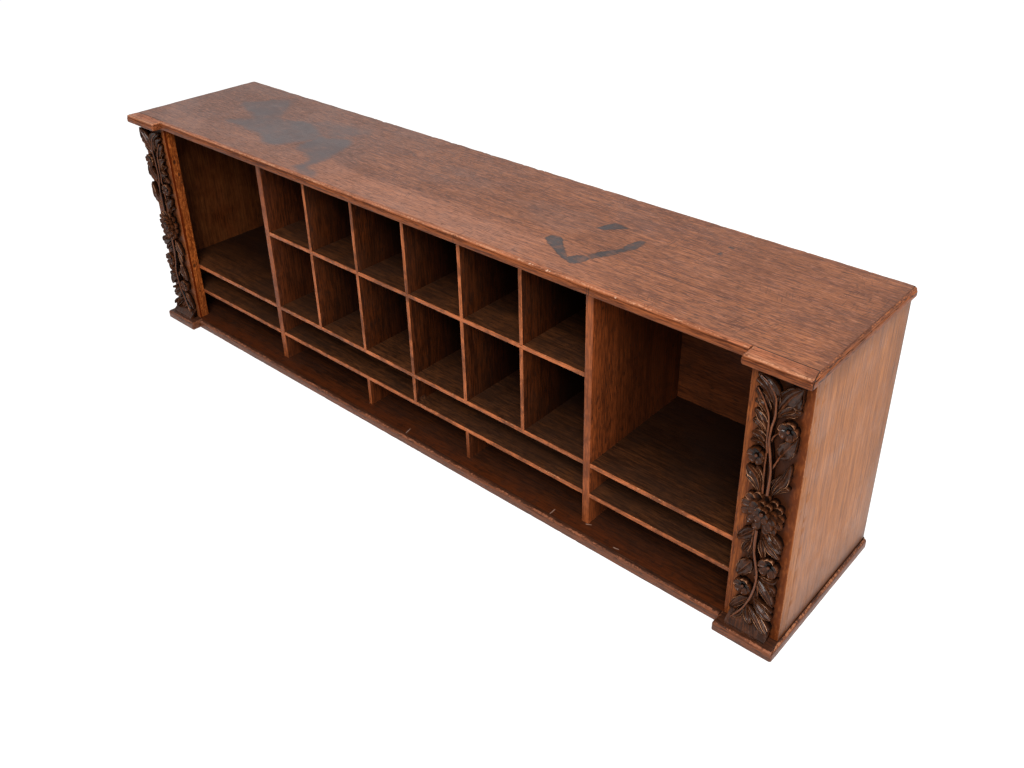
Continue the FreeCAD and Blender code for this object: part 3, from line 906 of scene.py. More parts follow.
@dataclass(frozen=True)
class Oak(Finish):
    """Stained and waxed oak, worn where hands and letters touched it."""

    light: Colour = (0.42, 0.140, 0.050)
    dark: Colour = (0.12, 0.036, 0.015)
    dull: Colour = (0.17, 0.075, 0.045)
    pore: Colour = (0.030, 0.011, 0.006)
    rubbed: Colour = (0.72, 0.32, 0.15)
    front: Colour = (0.40, 0.125, 0.048)
    dirt: Colour = (0.020, 0.008, 0.005)
    # painted shade with grime, deep inside the case
    grime_and_shade: Colour = (0.006, 0.002, 0.001)
    grain: Grain = Grain.X
    dullness: float = 0.35
    pored: float = 0.8
    fronted: float = 0.0          # how much the front edge differs from the faces
    front_low: float = 0.42       # how dark the front edge's darkest grain is
    grime_and_shade_share: float = 0.0           # how much the inside darkens towards the back
    wear: float = 0.0
    gloss: Span = (0.36, 0.55)
    shine: float = 0.4
    relief: float = 0.25
    seamed: float = 0.85          # darkness along edges that meet other pieces
    joints: tuple[Joint, ...] = ()

    def fill(self, g: Graph, place: Wire, sockets: Sockets) -> None:
        """Feed the shader: grain, patches and pores, then stains, painted shade with grime, front, wear and
        dirt.

        Args:
            g: its graph.
            place: where the surface is.
            sockets: the shader's inputs.
        """
        x, y, z = g.split(place)
        along = {Grain.X: place, Grain.Y: g.join(y, x, z), Grain.Z: g.join(z, x, y)}[self.grain]
        oak = g.group(OAK_GRAIN, Place=along)
        patches = g.group(PATCHES, Place=place)
        colour = g.mix(oak["Tone"], self.dark, self.light)
        colour = g.mix(patches["Mask"] * self.dullness, colour, self.dull)
        colour = g.mix(oak["Pores"] * self.pored, colour, self.pore)
        colour = self.stained(Face(g, place, colour, oak["Tone"]))
        # painted shade with grime, darker towards the back of the case
        if self.grime_and_shade_share:
            colour = g.mix(g.group(GRIME_AND_SHADE, Place=place)["Mask"] * self.grime_and_shade_share, colour, self.grime_and_shade)
        if self.fronted:
            edge = g.mix(oak["Tone"], tuple(c * self.front_low for c in self.front), self.front)
            edge = g.mix(patches["Small"] * 0.58, edge, self.dark)
            colour = g.mix(g.mark("front") * self.fronted, colour, edge)
        rub = g.group(RUB, Place=place, Mark=g.mark("rubbed"), Amount=self.wear)
        worn = g.mix(rub["Nicks"], g.mix(oak["Fibre"] * 0.5, self.light, self.rubbed), self.rubbed)
        colour = g.mix(rub["Mask"] * 0.8, colour, worn)
        grime = g.step(g.mark("dirt") * (0.55 + patches["Small"] * 0.6), 0.3, 0.8)
        seam = g.step(g.mark("seam"), 0.55, 0.95)
        colour = g.mix(grime.top(seam * self.seamed), colour, self.dirt)
        for joint in self.joints:
            line = g.group(JOINT, Place=place, Across=joint.across, Offset=joint.offset, Along=joint.along,
                           Start=joint.start, End=joint.end, Width=joint.half_width)["Mask"]
            colour = g.mix(line * 0.9, colour, self.dirt)
        rough = g.add("MapRange", 0, None, Value=oak["Fibre"] * 0.5 + patches["Mask"] * 0.5,
                      To_Min=self.gloss[0], To_Max=self.gloss[1])
        sockets["Specular IOR Level"].default_value = self.shine
        g.put(sockets["Base Color"], colour)
        g.put(sockets["Roughness"], rough)
        g.put(sockets["Normal"], g.bump(self.relief, GRAIN_DEPTH, oak["Height"]))

    def stained(self, on: Face) -> Wire:
        """Return the colour with any stains that this finish has."""
        return on.colour


@dataclass(frozen=True)
class TopOak(Oak):
    """The top's finish: the oak of the case with ink, scratches and bruises on it."""

    soft_ink: Colour = (0.130, 0.101, 0.101)
    crisp_ink: Colour = (0.066, 0.056, 0.058)
    ink_rim: Colour = (0.027, 0.023, 0.023)
    # greyer colour to the left: grey wood and painted sheen
    brown: Colour = (0.205, 0.112, 0.090)
    pale: Colour = (0.68, 0.285, 0.165)
    tans: tuple[Colour, Colour] = ((0.29, 0.095, 0.042), (0.60, 0.200, 0.092))    # of the mouldings' tops
    fleck: Colour = (0.085, 0.026, 0.013)
    nick: Colour = (0.80, 0.50, 0.34)
    edge: tuple[Colour, Colour] = ((0.085, 0.020, 0.006), (0.33, 0.092, 0.029))    # of its upright edges
    moulding: Span = (-0.1112, -0.1118)      # y where the mouldings' tops begin
    nosing: Span = (-0.122, -0.131)          # y over which their front turns paler
    right_end: Span = (0.640, 0.662)         # x over which the right end turns darker
    under_arris: Span = (0.4090, 0.4072)     # z over which the edge takes over from the top
    lipping: Span = (-0.1172, -0.1182)       # y of the front lipping's face
    face_z: float = 0.4092                   # height of the front arris
    notches: tuple[tuple[float, float], ...] = ((0.3597, 0.0006), (0.3628, 0.0009), (0.1340, 0.0006))
    nicks: tuple[Triple, ...] = (     # x, y and radius of pale chips on the front arris
        (0.2493, -0.1164, 0.0018), (0.2678, -0.1166, 0.0016), (0.2724, -0.1161, 0.0012),
        (0.2961, -0.1171, 0.0020), (0.3003, -0.1163, 0.0014), (0.4018, -0.1185, 0.0020))
    splits: tuple[Triple, ...] = (    # y, from x, to x
        (-0.0925, -0.67, -0.611), (-0.0368, 0.412, 0.476), (-0.0385, 0.487, 0.522), (0.0225, 0.43, 0.468),
        (-0.0335, 0.115, 0.185), (-0.0745, 0.135, 0.152), (-0.0400, 0.612, 0.629))

    def stained(self, on: Face) -> Wire:
        """Return the colour greyer to the left, grey wood with painted sheen, then polish, scratches and
        ink.

        Args:
            on: the surface so far.

        Returns:
            The new colour.
        """
        g, place, colour, tone = on
        x, y, _ = g.split(place)
        haze = g.noise(place, 5.0, 3, 0.6)
        broad = g.noise(g.stretch(place, (0.5, 1, 1), (3, 6, 0)), 14.0, 3, 0.6)
        # greyer to the left: grey wood and a painted sheen of reflected light
        colour = g.mix(g.step(broad, 0.5, 0.66) * g.step(x, 0.5, 0.1, 0.12, 0.35), colour, self.brown)
        colour = g.mix(g.step(x + haze * 0.6 - 0.3, 0.26, -0.52) * 0.6, colour, self.brown)
        # polished by hands along the front, and paler in front of the joint
        sweep = (haze - 0.5) * 0.07
        bright = g.step(y + sweep, -0.030, -0.062) * g.step(x, 0.46, 0.1) * g.step(x, -0.34, -0.1, 0.25, 1)
        colour = g.mix(bright * 0.36 * (tone * 0.5 + 0.75), colour, self.pale)
        colour = g.mix(g.step(y, *self.moulding) * 0.85, colour, g.mix(tone, *self.tans))
        colour = g.mix(g.step(y, *self.nosing) * (tone * 0.4 + 0.1), colour, self.rubbed)
        colour = g.mix(g.step(x + (broad - 0.5) * 0.02, *self.right_end) * 0.42, colour, self.fleck)
        for layer in (self.flecked, self.sided, self.inked):
            colour = layer(on._replace(colour=colour))
        return colour

    def flecked(self, on: Face) -> Wire:
        """Return the colour with short dark flecks, splits along the grain and scratches.

        Args:
            on: the surface so far.

        Returns:
            The new colour.
        """
        g, place, colour, _ = on
        x, y, _ = g.split(place)
        fleck = g.noise(g.stretch(place, (75, 560, 1), (3, 7, 0)), 1, 2, 0.6)
        colour = g.mix(g.step(fleck, 0.575, 0.665) * 0.72, colour, self.fleck)
        colour = g.mix(g.step(fleck, 0.44, 0.34) * 0.36, colour, self.pale)
        wobble = (g.noise(g.stretch(place, (40, 1, 1)), 1.0, 2) - 0.5) * 0.004
        for at, start, end in self.splits:
            away = abs(y - at + wobble)
            inside = g.step(x, start, start + 0.006) * g.step(x, end, end - 0.006)
            colour = g.mix(g.step(away, 0.0009, 0.0004) * inside * 0.75, colour, self.dirt)
        return g.mix(g.group(SCRATCHES, Place=place)["Mask"] * 0.5, colour, self.fleck)

    def sided(self, on: Face) -> Wire:
        """Return the colour with the browner upright edges, and the notches in the front one.

        Args:
            on: the surface so far.

        Returns:
            The new colour.
        """
        g, place, colour, tone = on
        x, y, z = g.split(place)
        colour = g.mix(g.step(z, *self.under_arris), colour, g.mix(tone, *self.edge))
        for at, half in self.notches:
            notch = g.step(abs(x - at), half, half * 0.5) * g.step(y, *self.lipping)
            colour = g.mix(notch * 0.8, colour, self.dirt)
        ragged = (g.noise(place, 500.0, 2, 0.6) - 0.5) * 0.004
        for at_x, at_y, radius in self.nicks:
            away = g.add("VectorMath", "Value", {"operation": "DISTANCE"}, n0=place,
                         n1=(at_x, at_y, self.face_z))
            colour = g.mix(g.step(away + ragged, radius, radius * 0.6) * 0.85, colour, self.nick)
        return colour

    def inked(self, on: Face) -> Wire:
        """Return the colour with the soft and the crisp ink stains.

        Args:
            on: the surface so far.

        Returns:
            The new colour.
        """
        g, place, colour, _ = on
        fray = g.noise(place, 42.0, 4, 0.65, 0.3)
        grain = g.noise(g.stretch(place, (34, 330, 1)), 1, 2, 0.6)
        cloud = g.noise(g.stretch(place, (1, 1, 1), (4, 1, 0)), 16.0, 4, 0.65)
        soft = g.step(g.mark("ink") + (fray - 0.5) * 0.45 + (grain - 0.5) * 0.5, 0.16, 0.84)
        soft = soft * g.step(cloud, 0.28, 0.62, 0.55, 0.92)
        colour = g.mix(soft, colour, self.soft_ink)
        fine = g.noise(place, 210.0, 3, 0.6)
        mark = g.mark("blot")
        blot = mark + ((fine - 0.5) * 1.0 + (grain - 0.5) * 0.9) * g.step(mark, 0.02, 0.3)
        heart = g.step(blot, 0.5, 0.95) * g.step(cloud, 0.35, 0.6, 0.4, 1.0)
        ink = g.mix(heart, self.ink_rim, self.crisp_ink)
        worn = g.noise(place, 75.0, 3, 0.6)
        return g.mix(g.step(blot, 0.14, 0.72) * g.step(worn, 0.35, 0.6, 0.66, 0.95), colour, ink)


@dataclass(frozen=True)
class BaseOak(Oak):
    """The base's finish: redder along its polished front, with a few pale scratches."""

    polished: Colour = (0.098, 0.021, 0.005)
    scratch: Colour = (0.42, 0.26, 0.19)
    scratches: tuple[tuple[float, float, float, float], ...] = (     # x, y, slant, half length
        (-0.0090, -0.1048, -0.26, 0.0085), (0.2943, -0.1043, -0.04, 0.0075), (0.4100, -0.1067, 6.0, 0.0055),
        (-0.1150, -0.0900, 1.2, 0.0040), (0.3510, -0.0925, 2.0, 0.0050))
    front_band: Span = (-0.078, -0.104)      # y over which hands polished it
    upper_face: Span = (0.0135, 0.0139)      # z of the face that the scratches lie on

    def stained(self, on: Face) -> Wire:
        """Return the colour with its redder front and its scratches.

        Args:
            on: the surface so far.

        Returns:
            The new colour.
        """
        g, place, colour, tone = on
        x, y, z = g.split(place)
        cloud = g.noise(place, 16.0, 3, 0.6)
        spots = g.noise(place, 75.0, 3, 0.6)
        red = g.step(y + (cloud - 0.5) * 0.05, *self.front_band) * (tone * 0.5 + 0.35)
        colour = g.mix(red * g.step(spots, 0.36, 0.50, 0.35, 1.0), colour, self.polished)
        ragged = (g.noise(place, 420.0, 2, 0.6) - 0.5) * 0.0022
        for at_x, at_y, slant, half in self.scratches:
            size = math.hypot(slant, 1.0)
            dx, dy = x - at_x, y - at_y
            along = abs((dx * slant + dy) * (1 / size))
            away = abs((dx - dy * slant) * (1 / size) + ragged)
            line = g.step(away, 0.0010, 0.0004) * g.step(along, half, half * 0.6)
            colour = g.mix(line * g.step(z, *self.upper_face) * 0.8, colour, self.scratch)
        return colour


@dataclass(frozen=True)
class PilasterOak(Oak):
    """A pilaster's finish: painted shade behind and between the leaves of its carving."""

    # painted shade between the carving's leaves
    shade: Colour = (0.036, 0.0105, 0.004)
    amber: Colour = (0.13, 0.028, 0.006)
    hollow: Colour = (0.12, 0.017, 0.002)
    middle: float = 0.6235       # centre of the carved strip
    inner: float = 0.0225        # half width of the dark strip
    outer: float = 0.0325        # where the darkness has gone towards the outside
    edging: tuple[float, float, float, float] = (0.0365, 0.033, 0.55, 0.95)    # lighter by the outer arris
    inner_edge: Span = (-0.0315, -0.0195)
    inner_side: Span = (-0.02, -0.025)
    outer_side: Span = (0.02, 0.025)

    def stained(self, on: Face) -> Wire:
        """Return the colour with an uneven strip of painted shade behind the carving, and darker sides.

        Args:
            on: the surface so far.

        Returns:
            The new colour.
        """
        g, place, colour, _ = on
        x = g.split(place)[0]
        beside = abs(x) - self.middle
        mottle = g.noise(place, 70.0, 4, 0.65)
        spots = g.noise(g.stretch(place, (1, 1, 0.35)), 260.0, 3, 0.6)
        deep = g.mix(g.step(spots, 0.46, 0.68) * 0.4, self.amber, self.light)
        colour = g.mix(g.step(beside, 0.0, 0.004) * g.step(beside, *self.edging), colour, deep)
        # painted shade in a mottled strip behind the carving
        outside = g.step(abs(beside) + (mottle - 0.5) * 0.022, self.outer, self.inner)
        inside = g.step(beside - (mottle - 0.5) * 0.014, *self.inner_edge)
        near = outside * g.math("GREATER_THAN", beside, 0.0) + inside * g.math("LESS_THAN", beside, 0.0)
        colour = g.mix(near * 0.92, colour, self.shade)
        side = 1 - g.mark("front")
        colour = g.mix(side * g.step(beside, *self.inner_side), colour, self.hollow)
        return g.mix(side * g.step(beside, *self.outer_side), colour, outer_face(on))


@dataclass(frozen=True)
class FacedOak(Oak):
    """Oak whose one face is darker: past `start` along an axis, full at `end`."""

    axis: int = 0
    start: float = 0.0
    end: float = 0.0
    # colour of the darker face: painted shade where it is an inner face of the case
    shade: Colour = (0.035, 0.012, 0.006)
    strength: float = 0.8

    def stained(self, on: Face) -> Wire:
        """Return the colour with the darker face.

        Args:
            on: the surface so far.

        Returns:
            The new colour.
        """
        g, place, colour, tone = on
        along = abs(g.split(place)[self.axis])
        cloud = g.noise(place, 30.0, 3, 0.6)
        face = g.mix(tone, tuple(c * 0.5 for c in self.shade), tuple(c * 1.5 for c in self.shade))
        share = g.step(along, self.start, self.end) * (cloud * 0.5 + 0.75) * self.strength
        return g.mix(share, colour, face)


@dataclass(frozen=True)
class EndOak(FacedOak):
    """An end panel's finish: the tan of the outer faces, and an inner face darkened as painted shade."""

    def stained(self, on: Face) -> Wire:
        """Return the colour of both faces."""
        return super().stained(on._replace(colour=outer_face(on)))


@dataclass(frozen=True)
class KnottyOak(Oak):
    """A stile's finish: orange oak, curly around a few dark knots, tan on its outer side."""

    knots: tuple[Triple, ...] = ()    # y, z and radius
    outer_side: Span = (0.6585, 0.6595)      # |x| where the tan outer side begins

    def stained(self, on: Face) -> Wire:
        """Return the colour with its knots and curls.

        Args:
            on: the surface so far.

        Returns:
            The new colour.
        """
        g, place, colour, _ = on
        x, y, z = g.split(place)
        fray = (g.noise(place, 160.0, 3, 0.6) - 0.5) * 0.9
        curl = g.noise(g.stretch(place, (1, 1, 0.5)), 105.0, 3, 0.6, 3.2)
        colour = g.mix(g.step(curl, 0.46, 0.6) * 0.7, colour, self.dark)
        colour = g.mix(g.step(curl, 0.44, 0.36) * 0.5, colour, self.rubbed)
        for knot_y, knot_z, radius in self.knots:
            dy = (y - knot_y) * (1 / radius)
            dz = (z - knot_z) * (0.6 / radius)
            away = g.math("SQRT", dy * dy + dz * dz) + fray
            ring = g.step(abs(away - 1.9), 0.35, 0.1) * 0.4
            colour = g.mix(g.step(away, 1.05, 0.5).top(ring) * 0.85, colour, self.pore)
        outside = g.step(abs(x), *self.outer_side)
        return g.mix(outside, colour, outer_face(on))


@dataclass(frozen=True)
class CarvedOak(Finish):
    """Nearly black carving, rubbed brown with painted highlight on its ridges, painted shade in its
    hollows.
    """

    name: str = "carved_dark_oak"
    leaf: Colour = (0.024, 0.0086, 0.0042)
    brown: Colour = (0.20, 0.056, 0.016)
    # rubbed wear on ridges and rims, partly painted highlight
    ridge_wear_and_highlight: Colour = (0.70, 0.34, 0.18)
    # painted shade in hollows, under undercut walls and beside ribs
    deep: Colour = (0.003, 0.0012, 0.0008)
    gloss: Span = (0.16, 0.36)
    shine: float = 0.2
    relief: float = 0.25

    def fill(self, g: Graph, place: Wire, sockets: Sockets) -> None:
        """Feed the shader: brown stems, ridges rubbed and highlighted, hollows in painted shade, on mottled
        black.

        Args:
            g: its graph.
            place: where the surface is.
            sockets: the shader's inputs.
        """
        x, y, z = g.split(place)
        oak = g.group(OAK_GRAIN, Place=g.join(z, x, y))
        patches = g.group(PATCHES, Place=place)
        cloud = g.noise(place, 90.0, 3, 0.6)
        colour = g.mix(g.step(cloud, 0.45, 0.65) * 0.2 + oak["Fibre"] * 0.08, self.leaf, self.brown)
        colour = g.mix(g.mark("brown") * (oak["Tone"] * 0.6 + 0.45), colour, self.brown)
        rub = g.group(RUB, Place=place, Mark=g.mark("rubbed"), Amount=0.12, Ragged=0.6)["Mask"]
        # rubbed ridges and rims: wear and painted highlight
        colour = g.mix(rub * (patches["Small"] * 0.4 + 0.55), colour, self.ridge_wear_and_highlight)
        # painted shade where the mark deep is high
        colour = g.mix(g.step(g.mark("deep"), 0.2, 0.85), colour, self.deep)
        grit = g.noise(place, 1500.0, 2, 0.6) * 0.3 + g.noise(place, 380.0, 2, 0.5)
        sockets["Specular IOR Level"].default_value = self.shine
        g.put(sockets["Base Color"], colour)
        g.put(sockets["Roughness"], g.step(cloud, 0.3, 0.7, *self.gloss))
        g.put(sockets["Normal"], g.bump(self.relief, GRAIN_DEPTH, grit))


@dataclass(frozen=True)
class Iron(Finish):
    """Dark iron with rust, for nails and screws."""

    name: str = "rusted_iron"
    steel: Colour = (0.09, 0.085, 0.08)
    rust: Colour = (0.16, 0.055, 0.022)
    pitting: float = 0.3 * MM

    def fill(self, g: Graph, place: Wire, sockets: Sockets) -> None:
        """Feed the shader: dark metal that turns dull and brown where rust blooms.

        Args:
            g: its graph.
            place: where the surface is.
            sockets: the shader's inputs.
        """
        bloom = g.step(g.noise(place, 500.0, 4, 0.65), 0.42, 0.6)
        g.put(sockets["Base Color"], g.mix(bloom, self.steel, self.rust))
        g.put(sockets["Metallic"], 0.75 - bloom * 0.7)
        g.put(sockets["Roughness"], bloom * 0.35 + 0.45)
        g.put(sockets["Normal"], g.bump(0.4, self.pitting, g.noise(place, 1800.0, 3, 0.6)))


# ------ top and base
@dataclass
class Slab:
    """Top or base: a long board, a front lipping, two projections and two end strips."""

    name: str
    board: Oak
    moulding: Oak
    strip: Oak
    slots: tuple[str, str]               # record slots of the board and of the rest
    section: Array
    corner: float = 3.5 * MM
    inner_corner: float = 2.2 * MM
    arris: float = 0.25 * MM             # of the long board
    wear: float = 0.3 * MM
    chip: float = 0.7 * MM
    board_chip: float = 0.2 * MM
    rim: float = 1.6 * MM
    strip_rim: float = 0.25 * MM         # narrower, because the strips are only 5 mm wide
    edge_pitch: float = 1.5 * MM         # spacing of points along the moulded edges
    joint_pitch: float = 2 * MM
    side_pitch: float = 4 * MM
    back_pitch: float = 8 * MM
    seed: int = 10

    def build(self) -> None:
        """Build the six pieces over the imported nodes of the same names."""
        low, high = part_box(self.name + "_board")
        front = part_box(self.name + "_left_projection")[0].y
        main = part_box(self.name + "_front_lipping")[0].y
        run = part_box(self.name + "_front_lipping")[1].x
        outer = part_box(self.name + "_right_end_strip")[1].x
        flat = square_edge(high.z - low.z, self.arris)
        if isinstance(self.board, TopOak):
            StainedTop(self.board).build()
        else:
            self.make("board", self.board, 0, flat, [
                Corner(low.x, low.y, 0.2 * MM, 0.0), Corner(high.x, low.y, 0.2 * MM, 0.0),
                Corner(high.x, high.y, 0.2 * MM, 0.6, self.back_pitch),
                Corner(low.x, high.y, 0.2 * MM, 0.0)], low.z)
        self.make("front_lipping", self.moulding, 1, self.section, [
            Corner(-run, main, 0.0, 1.0, self.edge_pitch), Corner(run, main, 0.0, 0.0),
            Corner(run, low.y, MET, 0.0), Corner(-run, low.y, MET, 0.0)], low.z)
        for side, s in (("left", -1), ("right", 1)):
            ends = [Corner(s * run, front, self.inner_corner, 1.0, self.edge_pitch, 0.7),
                    Corner(s * outer, front, 0.0, 0.0),
                    Corner(s * high.x, low.y, MET, 0.0),
                    Corner(s * run, low.y, MET, 1.0, self.joint_pitch)]
            edge = [Corner(s * outer, front, 0.0, 1.0, self.edge_pitch),
                    Corner(s * outer, high.y, self.corner, 0.6, self.side_pitch, 0.9),
                    Corner(s * high.x, high.y, MET, 0.0, self.side_pitch),
                    Corner(s * high.x, low.y, 0.0, 0.0, self.joint_pitch)]
            clamps = ((s * outer, front, self.corner),)
            for part, corners, oak in (("projection", ends, self.moulding),
                                       ("end_strip", edge, self.strip)):
                if s < 0:
                    corners = self.mirrored(corners)
                self.make("%s_%s" % (side, part), oak, 1, self.section, corners, low.z, clamps)

    def mirrored(self, corners: list[Corner]) -> list[Corner]:
        """Return corners in the other order, each side's values kept with that side.

        Args:
            corners: the right-hand plan's corners, mirrored but in the old order.

        Returns:
            The corners, anticlockwise.
        """
        back = corners[::-1]
        sides = back[1:] + back[:1]
        return [Corner(a.x, a.y, a.radius, b.worked, b.pitch, a.rubbed) for a, b in zip(back, sides)]

    def make(self, part: str, oak: Oak, slot: int, section: Array, corners: list[Corner], z: float,
             clamps: tuple[Triple, ...] = ()) -> None:
        """Build one piece.

        Args:
            part: its name after the slab's.
            oak: its finish.
            slot: which of the slab's two slots it takes.
            section: its edge, as rows with marks.
            corners: its plan.
            z: height of its underside.
            clamps: outer corners to round off.
        """
        self.seed += 5
        chip = self.chip if slot else self.board_chip
        rim = self.strip_rim if part.endswith("strip") else self.rim
        plate = Plate(corners, z, section, self.wear, chip, rim, self.seed, clamps)
        name = "%s_%s" % (self.name, part)
        plate.shell().outward().build(name, oak.build(), self.slots[slot], crisp=42)


# Ink stains on the top: outlines in millimetres along X and Y, anticlockwise or not.
LEFT_STAIN = np.array([
    (-503, -40), (-502, -26), (-484, -11), (-478, -1), (-502, 14), (-528, 22), (-553, 28), (-567, 45),
    (-549, 60), (-540, 73), (-533, 90), (-510, 106), (-484, 85), (-457, 51), (-436, 29), (-412, 32),
    (-395, 46), (-374, 46), (-341, 36), (-317, 24), (-305, 2), (-310, -15), (-322, -31), (-324, -39),
    (-331, -54), (-347, -62), (-363, -65), (-382, -50), (-409, -40), (-435, -42), (-453, -36), (-475, -38)])
RIGHT_STAIN = np.array([
    (-322, 20), (-295, 17), (-281, 28), (-261, 38), (-240, 24), (-233, 6), (-224, -22), (-215, -50),
    (-216, -78), (-213, -87), (-202, -89), (-185, -91), (-175, -101), (-176, -110), (-199, -110),
    (-222, -102), (-237, -99), (-230, -85), (-235, -69), (-254, -56), (-271, -50), (-290, -48),
    (-302, -36), (-306, -18), (-306, -6)])
FAINT_STAIN = np.array([
    (-372, 44), (-364, 79), (-324, 91), (-287, 95), (-259, 95), (-247, 82), (-252, 64), (-258, 47),
    (-254, 31), (-283, 14), (-318, 16)])


@dataclass(frozen=True)
class Blot:
    """One crisp part of an ink stain: how dense it is and how far its edge spreads."""

    density: float
    blur: float
    outline: tuple[tuple[float, float], ...]


BLOTS = (
    # hooked stain: left arm, heel, neck, right arm and its upper end
    Blot(1.0, 2.4, ((233, -47), (235, -35), (247, -32), (255, -36), (261, -44), (269, -52), (278, -60),
                    (287, -67), (294, -75), (300, -82), (290, -79), (278, -74), (266, -67), (254, -61),
                    (246, -57), (239, -51))),
    Blot(1.0, 1.8, ((295, -66), (299, -60), (306, -56), (313, -56), (317, -61), (318, -67), (315, -74),
                    (311, -81), (307, -85), (300, -83), (295, -78), (291, -73))),
    Blot(0.8, 3.0, ((309, -54), (310, -44), (315, -35), (322, -27), (330, -38), (325, -46), (320, -58))),
    Blot(1.0, 2.8, ((314, -37), (318, -29), (324, -20), (330, -14), (336, -25), (333, -34), (328, -41),
                    (322, -44))),
    Blot(0.7, 3.8, ((326, -28), (327, -16), (331, -4), (337, 4), (344, 0), (341, -12), (336, -24))),
    Blot(0.3, 9.0, ((314, -30), (312, -10), (318, 4), (330, 8), (338, -2), (334, -22))),
    Blot(1.0, 2.4, ((330, -5), (330, 7), (333, 19), (336, 27), (343, 27), (346, 16), (346, 5), (344, -5),
                    (338, -9))),
    Blot(0.28, 12.0, ((254, -46), (285, -52), (300, -45), (316, -34), (318, -50), (300, -68), (280, -62))),
    # slanted stain and two small spots
    Blot(0.95, 2.4, ((267, 21), (269, 32), (274, 42), (277, 50), (286, 50), (293, 48), (301, 47),
                     (300, 42), (293, 38), (287, 31), (281, 24), (274, 21))),
    Blot(0.8, 2.0, ((433, 81), (434, 86), (442, 86), (442, 81))),
    Blot(0.7, 2.5, ((433, 54), (433, 63), (438, 64), (440, 56))),
)


@dataclass
class StainedTop:
    """The top's long board: a fine grid of heights that also carries its ink stains."""

    finish: TopOak
    slot: str = "top_oak"
    pitch: float = 2.2 * MM
    arris: float = 0.9 * MM        # round of the free back edge
    joined: float = 0.12 * MM      # tiny arris where the other pieces meet it
    chip: float = 1.2 * MM         # of the back edge
    dent: float = 0.06 * MM
    soft_blur: Span = (17, 22)     # in millimetres, of the dark stains and of the faint one

    def build(self) -> None:
        """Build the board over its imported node.

        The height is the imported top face, less a shallow ripple, less a round towards the
        edges. The back edge is also pressed in by chips.
        """
        low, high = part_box("top_board")
        fine = np.array([0, 0.15, 0.4, 0.9, 1.8]) * MM
        x, y = (np.concatenate([a + fine, np.arange(a + 4 * MM, b - 4 * MM, self.pitch), b - fine[::-1]])
                for a, b in ((low.x, high.x), (low.y, high.y)))
        x, y = np.meshgrid(x, y, indexing="ij")
        flat = np.stack([x, y, x * 0], -1)
        back = high.y - y
        ends = np.minimum(np.minimum(x - low.x, high.x - x), y - low.y)
        chip = chips(x - low.x, high.x - low.x, 50, 91)
        round_off = self.arris * (1 + 0.5 * ripple(flat, 50 * MM, 92)) + self.chip * chip
        drop = round_off * (1 - np.sqrt(1 - (1 - back / (2 * round_off)).clip(0, 1) ** 2))
        drop += self.joined * (1 - ends / (0.6 * MM)).clip(0, 1)
        dents = self.dent * (1 + ripple(flat, 90 * MM, 93)).clip(0) * (ends.clip(0, 20 * MM) / (20 * MM))
        y = y - (0.4 * MM * chip * bell(back, 0, 0.8 * MM))
        points = np.stack([x, y, high.z - drop - dents], -1)
        plan = flat.reshape(-1, 3)[:, :2] / MM
        marks = {
            "rubbed": bell(back, 0, 1.6 * MM),
            "ink": np.maximum(self.spread(plan, [LEFT_STAIN, RIGHT_STAIN], self.soft_blur[0]),
                              0.55 * self.spread(plan, [FAINT_STAIN], self.soft_blur[1])).reshape(x.shape),
            "blot": np.max([b.density * self.spread(plan, [np.array(b.outline)], b.blur) for b in BLOTS],
                           axis=0).reshape(x.shape),
            "front": x * 0, "seam": x * 0, "dirt": x * 0,
        }
        board = relief(points, low.z, 0.0, marks)
        del board.marks["deep"]
        board.outward().build("top_board", self.finish.build(), self.slot, crisp=42)

    def spread(self, plan: Array, outlines: list[Array], blur: float) -> Array:
        """Return 0 to 1 per point: one half on an outline, rising inwards over the blur."""
        inside = np.max([depth_inside(plan, outline.astype(float)) for outline in outlines], axis=0)
        return smooth(inside, -blur, blur)


def top_section() -> Array:
    """Return the top's edge: a small round, a thin quirk and a wide rubbed arris.

    Returns:
        The rows, from the underside up.
    """
    lower = quarter(2.2 * MM)
    upper = quarter(1.6 * MM, 4)[::-1] * [1, -1] + [0, 8.8 * MM]
    quirk = np.array([[1.6, 8.8], [1.6, 9.6]]) * MM
    band = np.array([[0.8, 9.7], [0.7, 9.85]]) * MM
    arris = quarter(2.9 * MM, 6)[::-1] * [1, -1] + [0.7 * MM, 12.8 * MM]
    return np.concatenate([rows(lower, 0.15), rows(upper, np.linspace(0.15, 0.4, 4)), rows(quirk, 0, 0.7),
                           rows(band, 0.15), rows(arris[1:], np.array([0.2, 0.5, 0.9, 1.0, 0.9]))])


def base_section() -> Array:
    """Return the base's edge: nearly square below and widely rounded above.

    Returns:
        The rows, from the underside up.
    """
    lower = quarter(1.0 * MM, 4)
    upper = quarter(4.0 * MM, 6)[::-1] * [1, -1] + [0, 14.1 * MM]
    flat = np.array([[0, 5.0], [0, 7.5]]) * MM
    rub = np.array([0.1, 0.3, 0.6, 0.95, 1.0, 0.5])
    return np.concatenate([rows(lower, 0.5), rows(flat, 0.1), rows(upper, rub)])


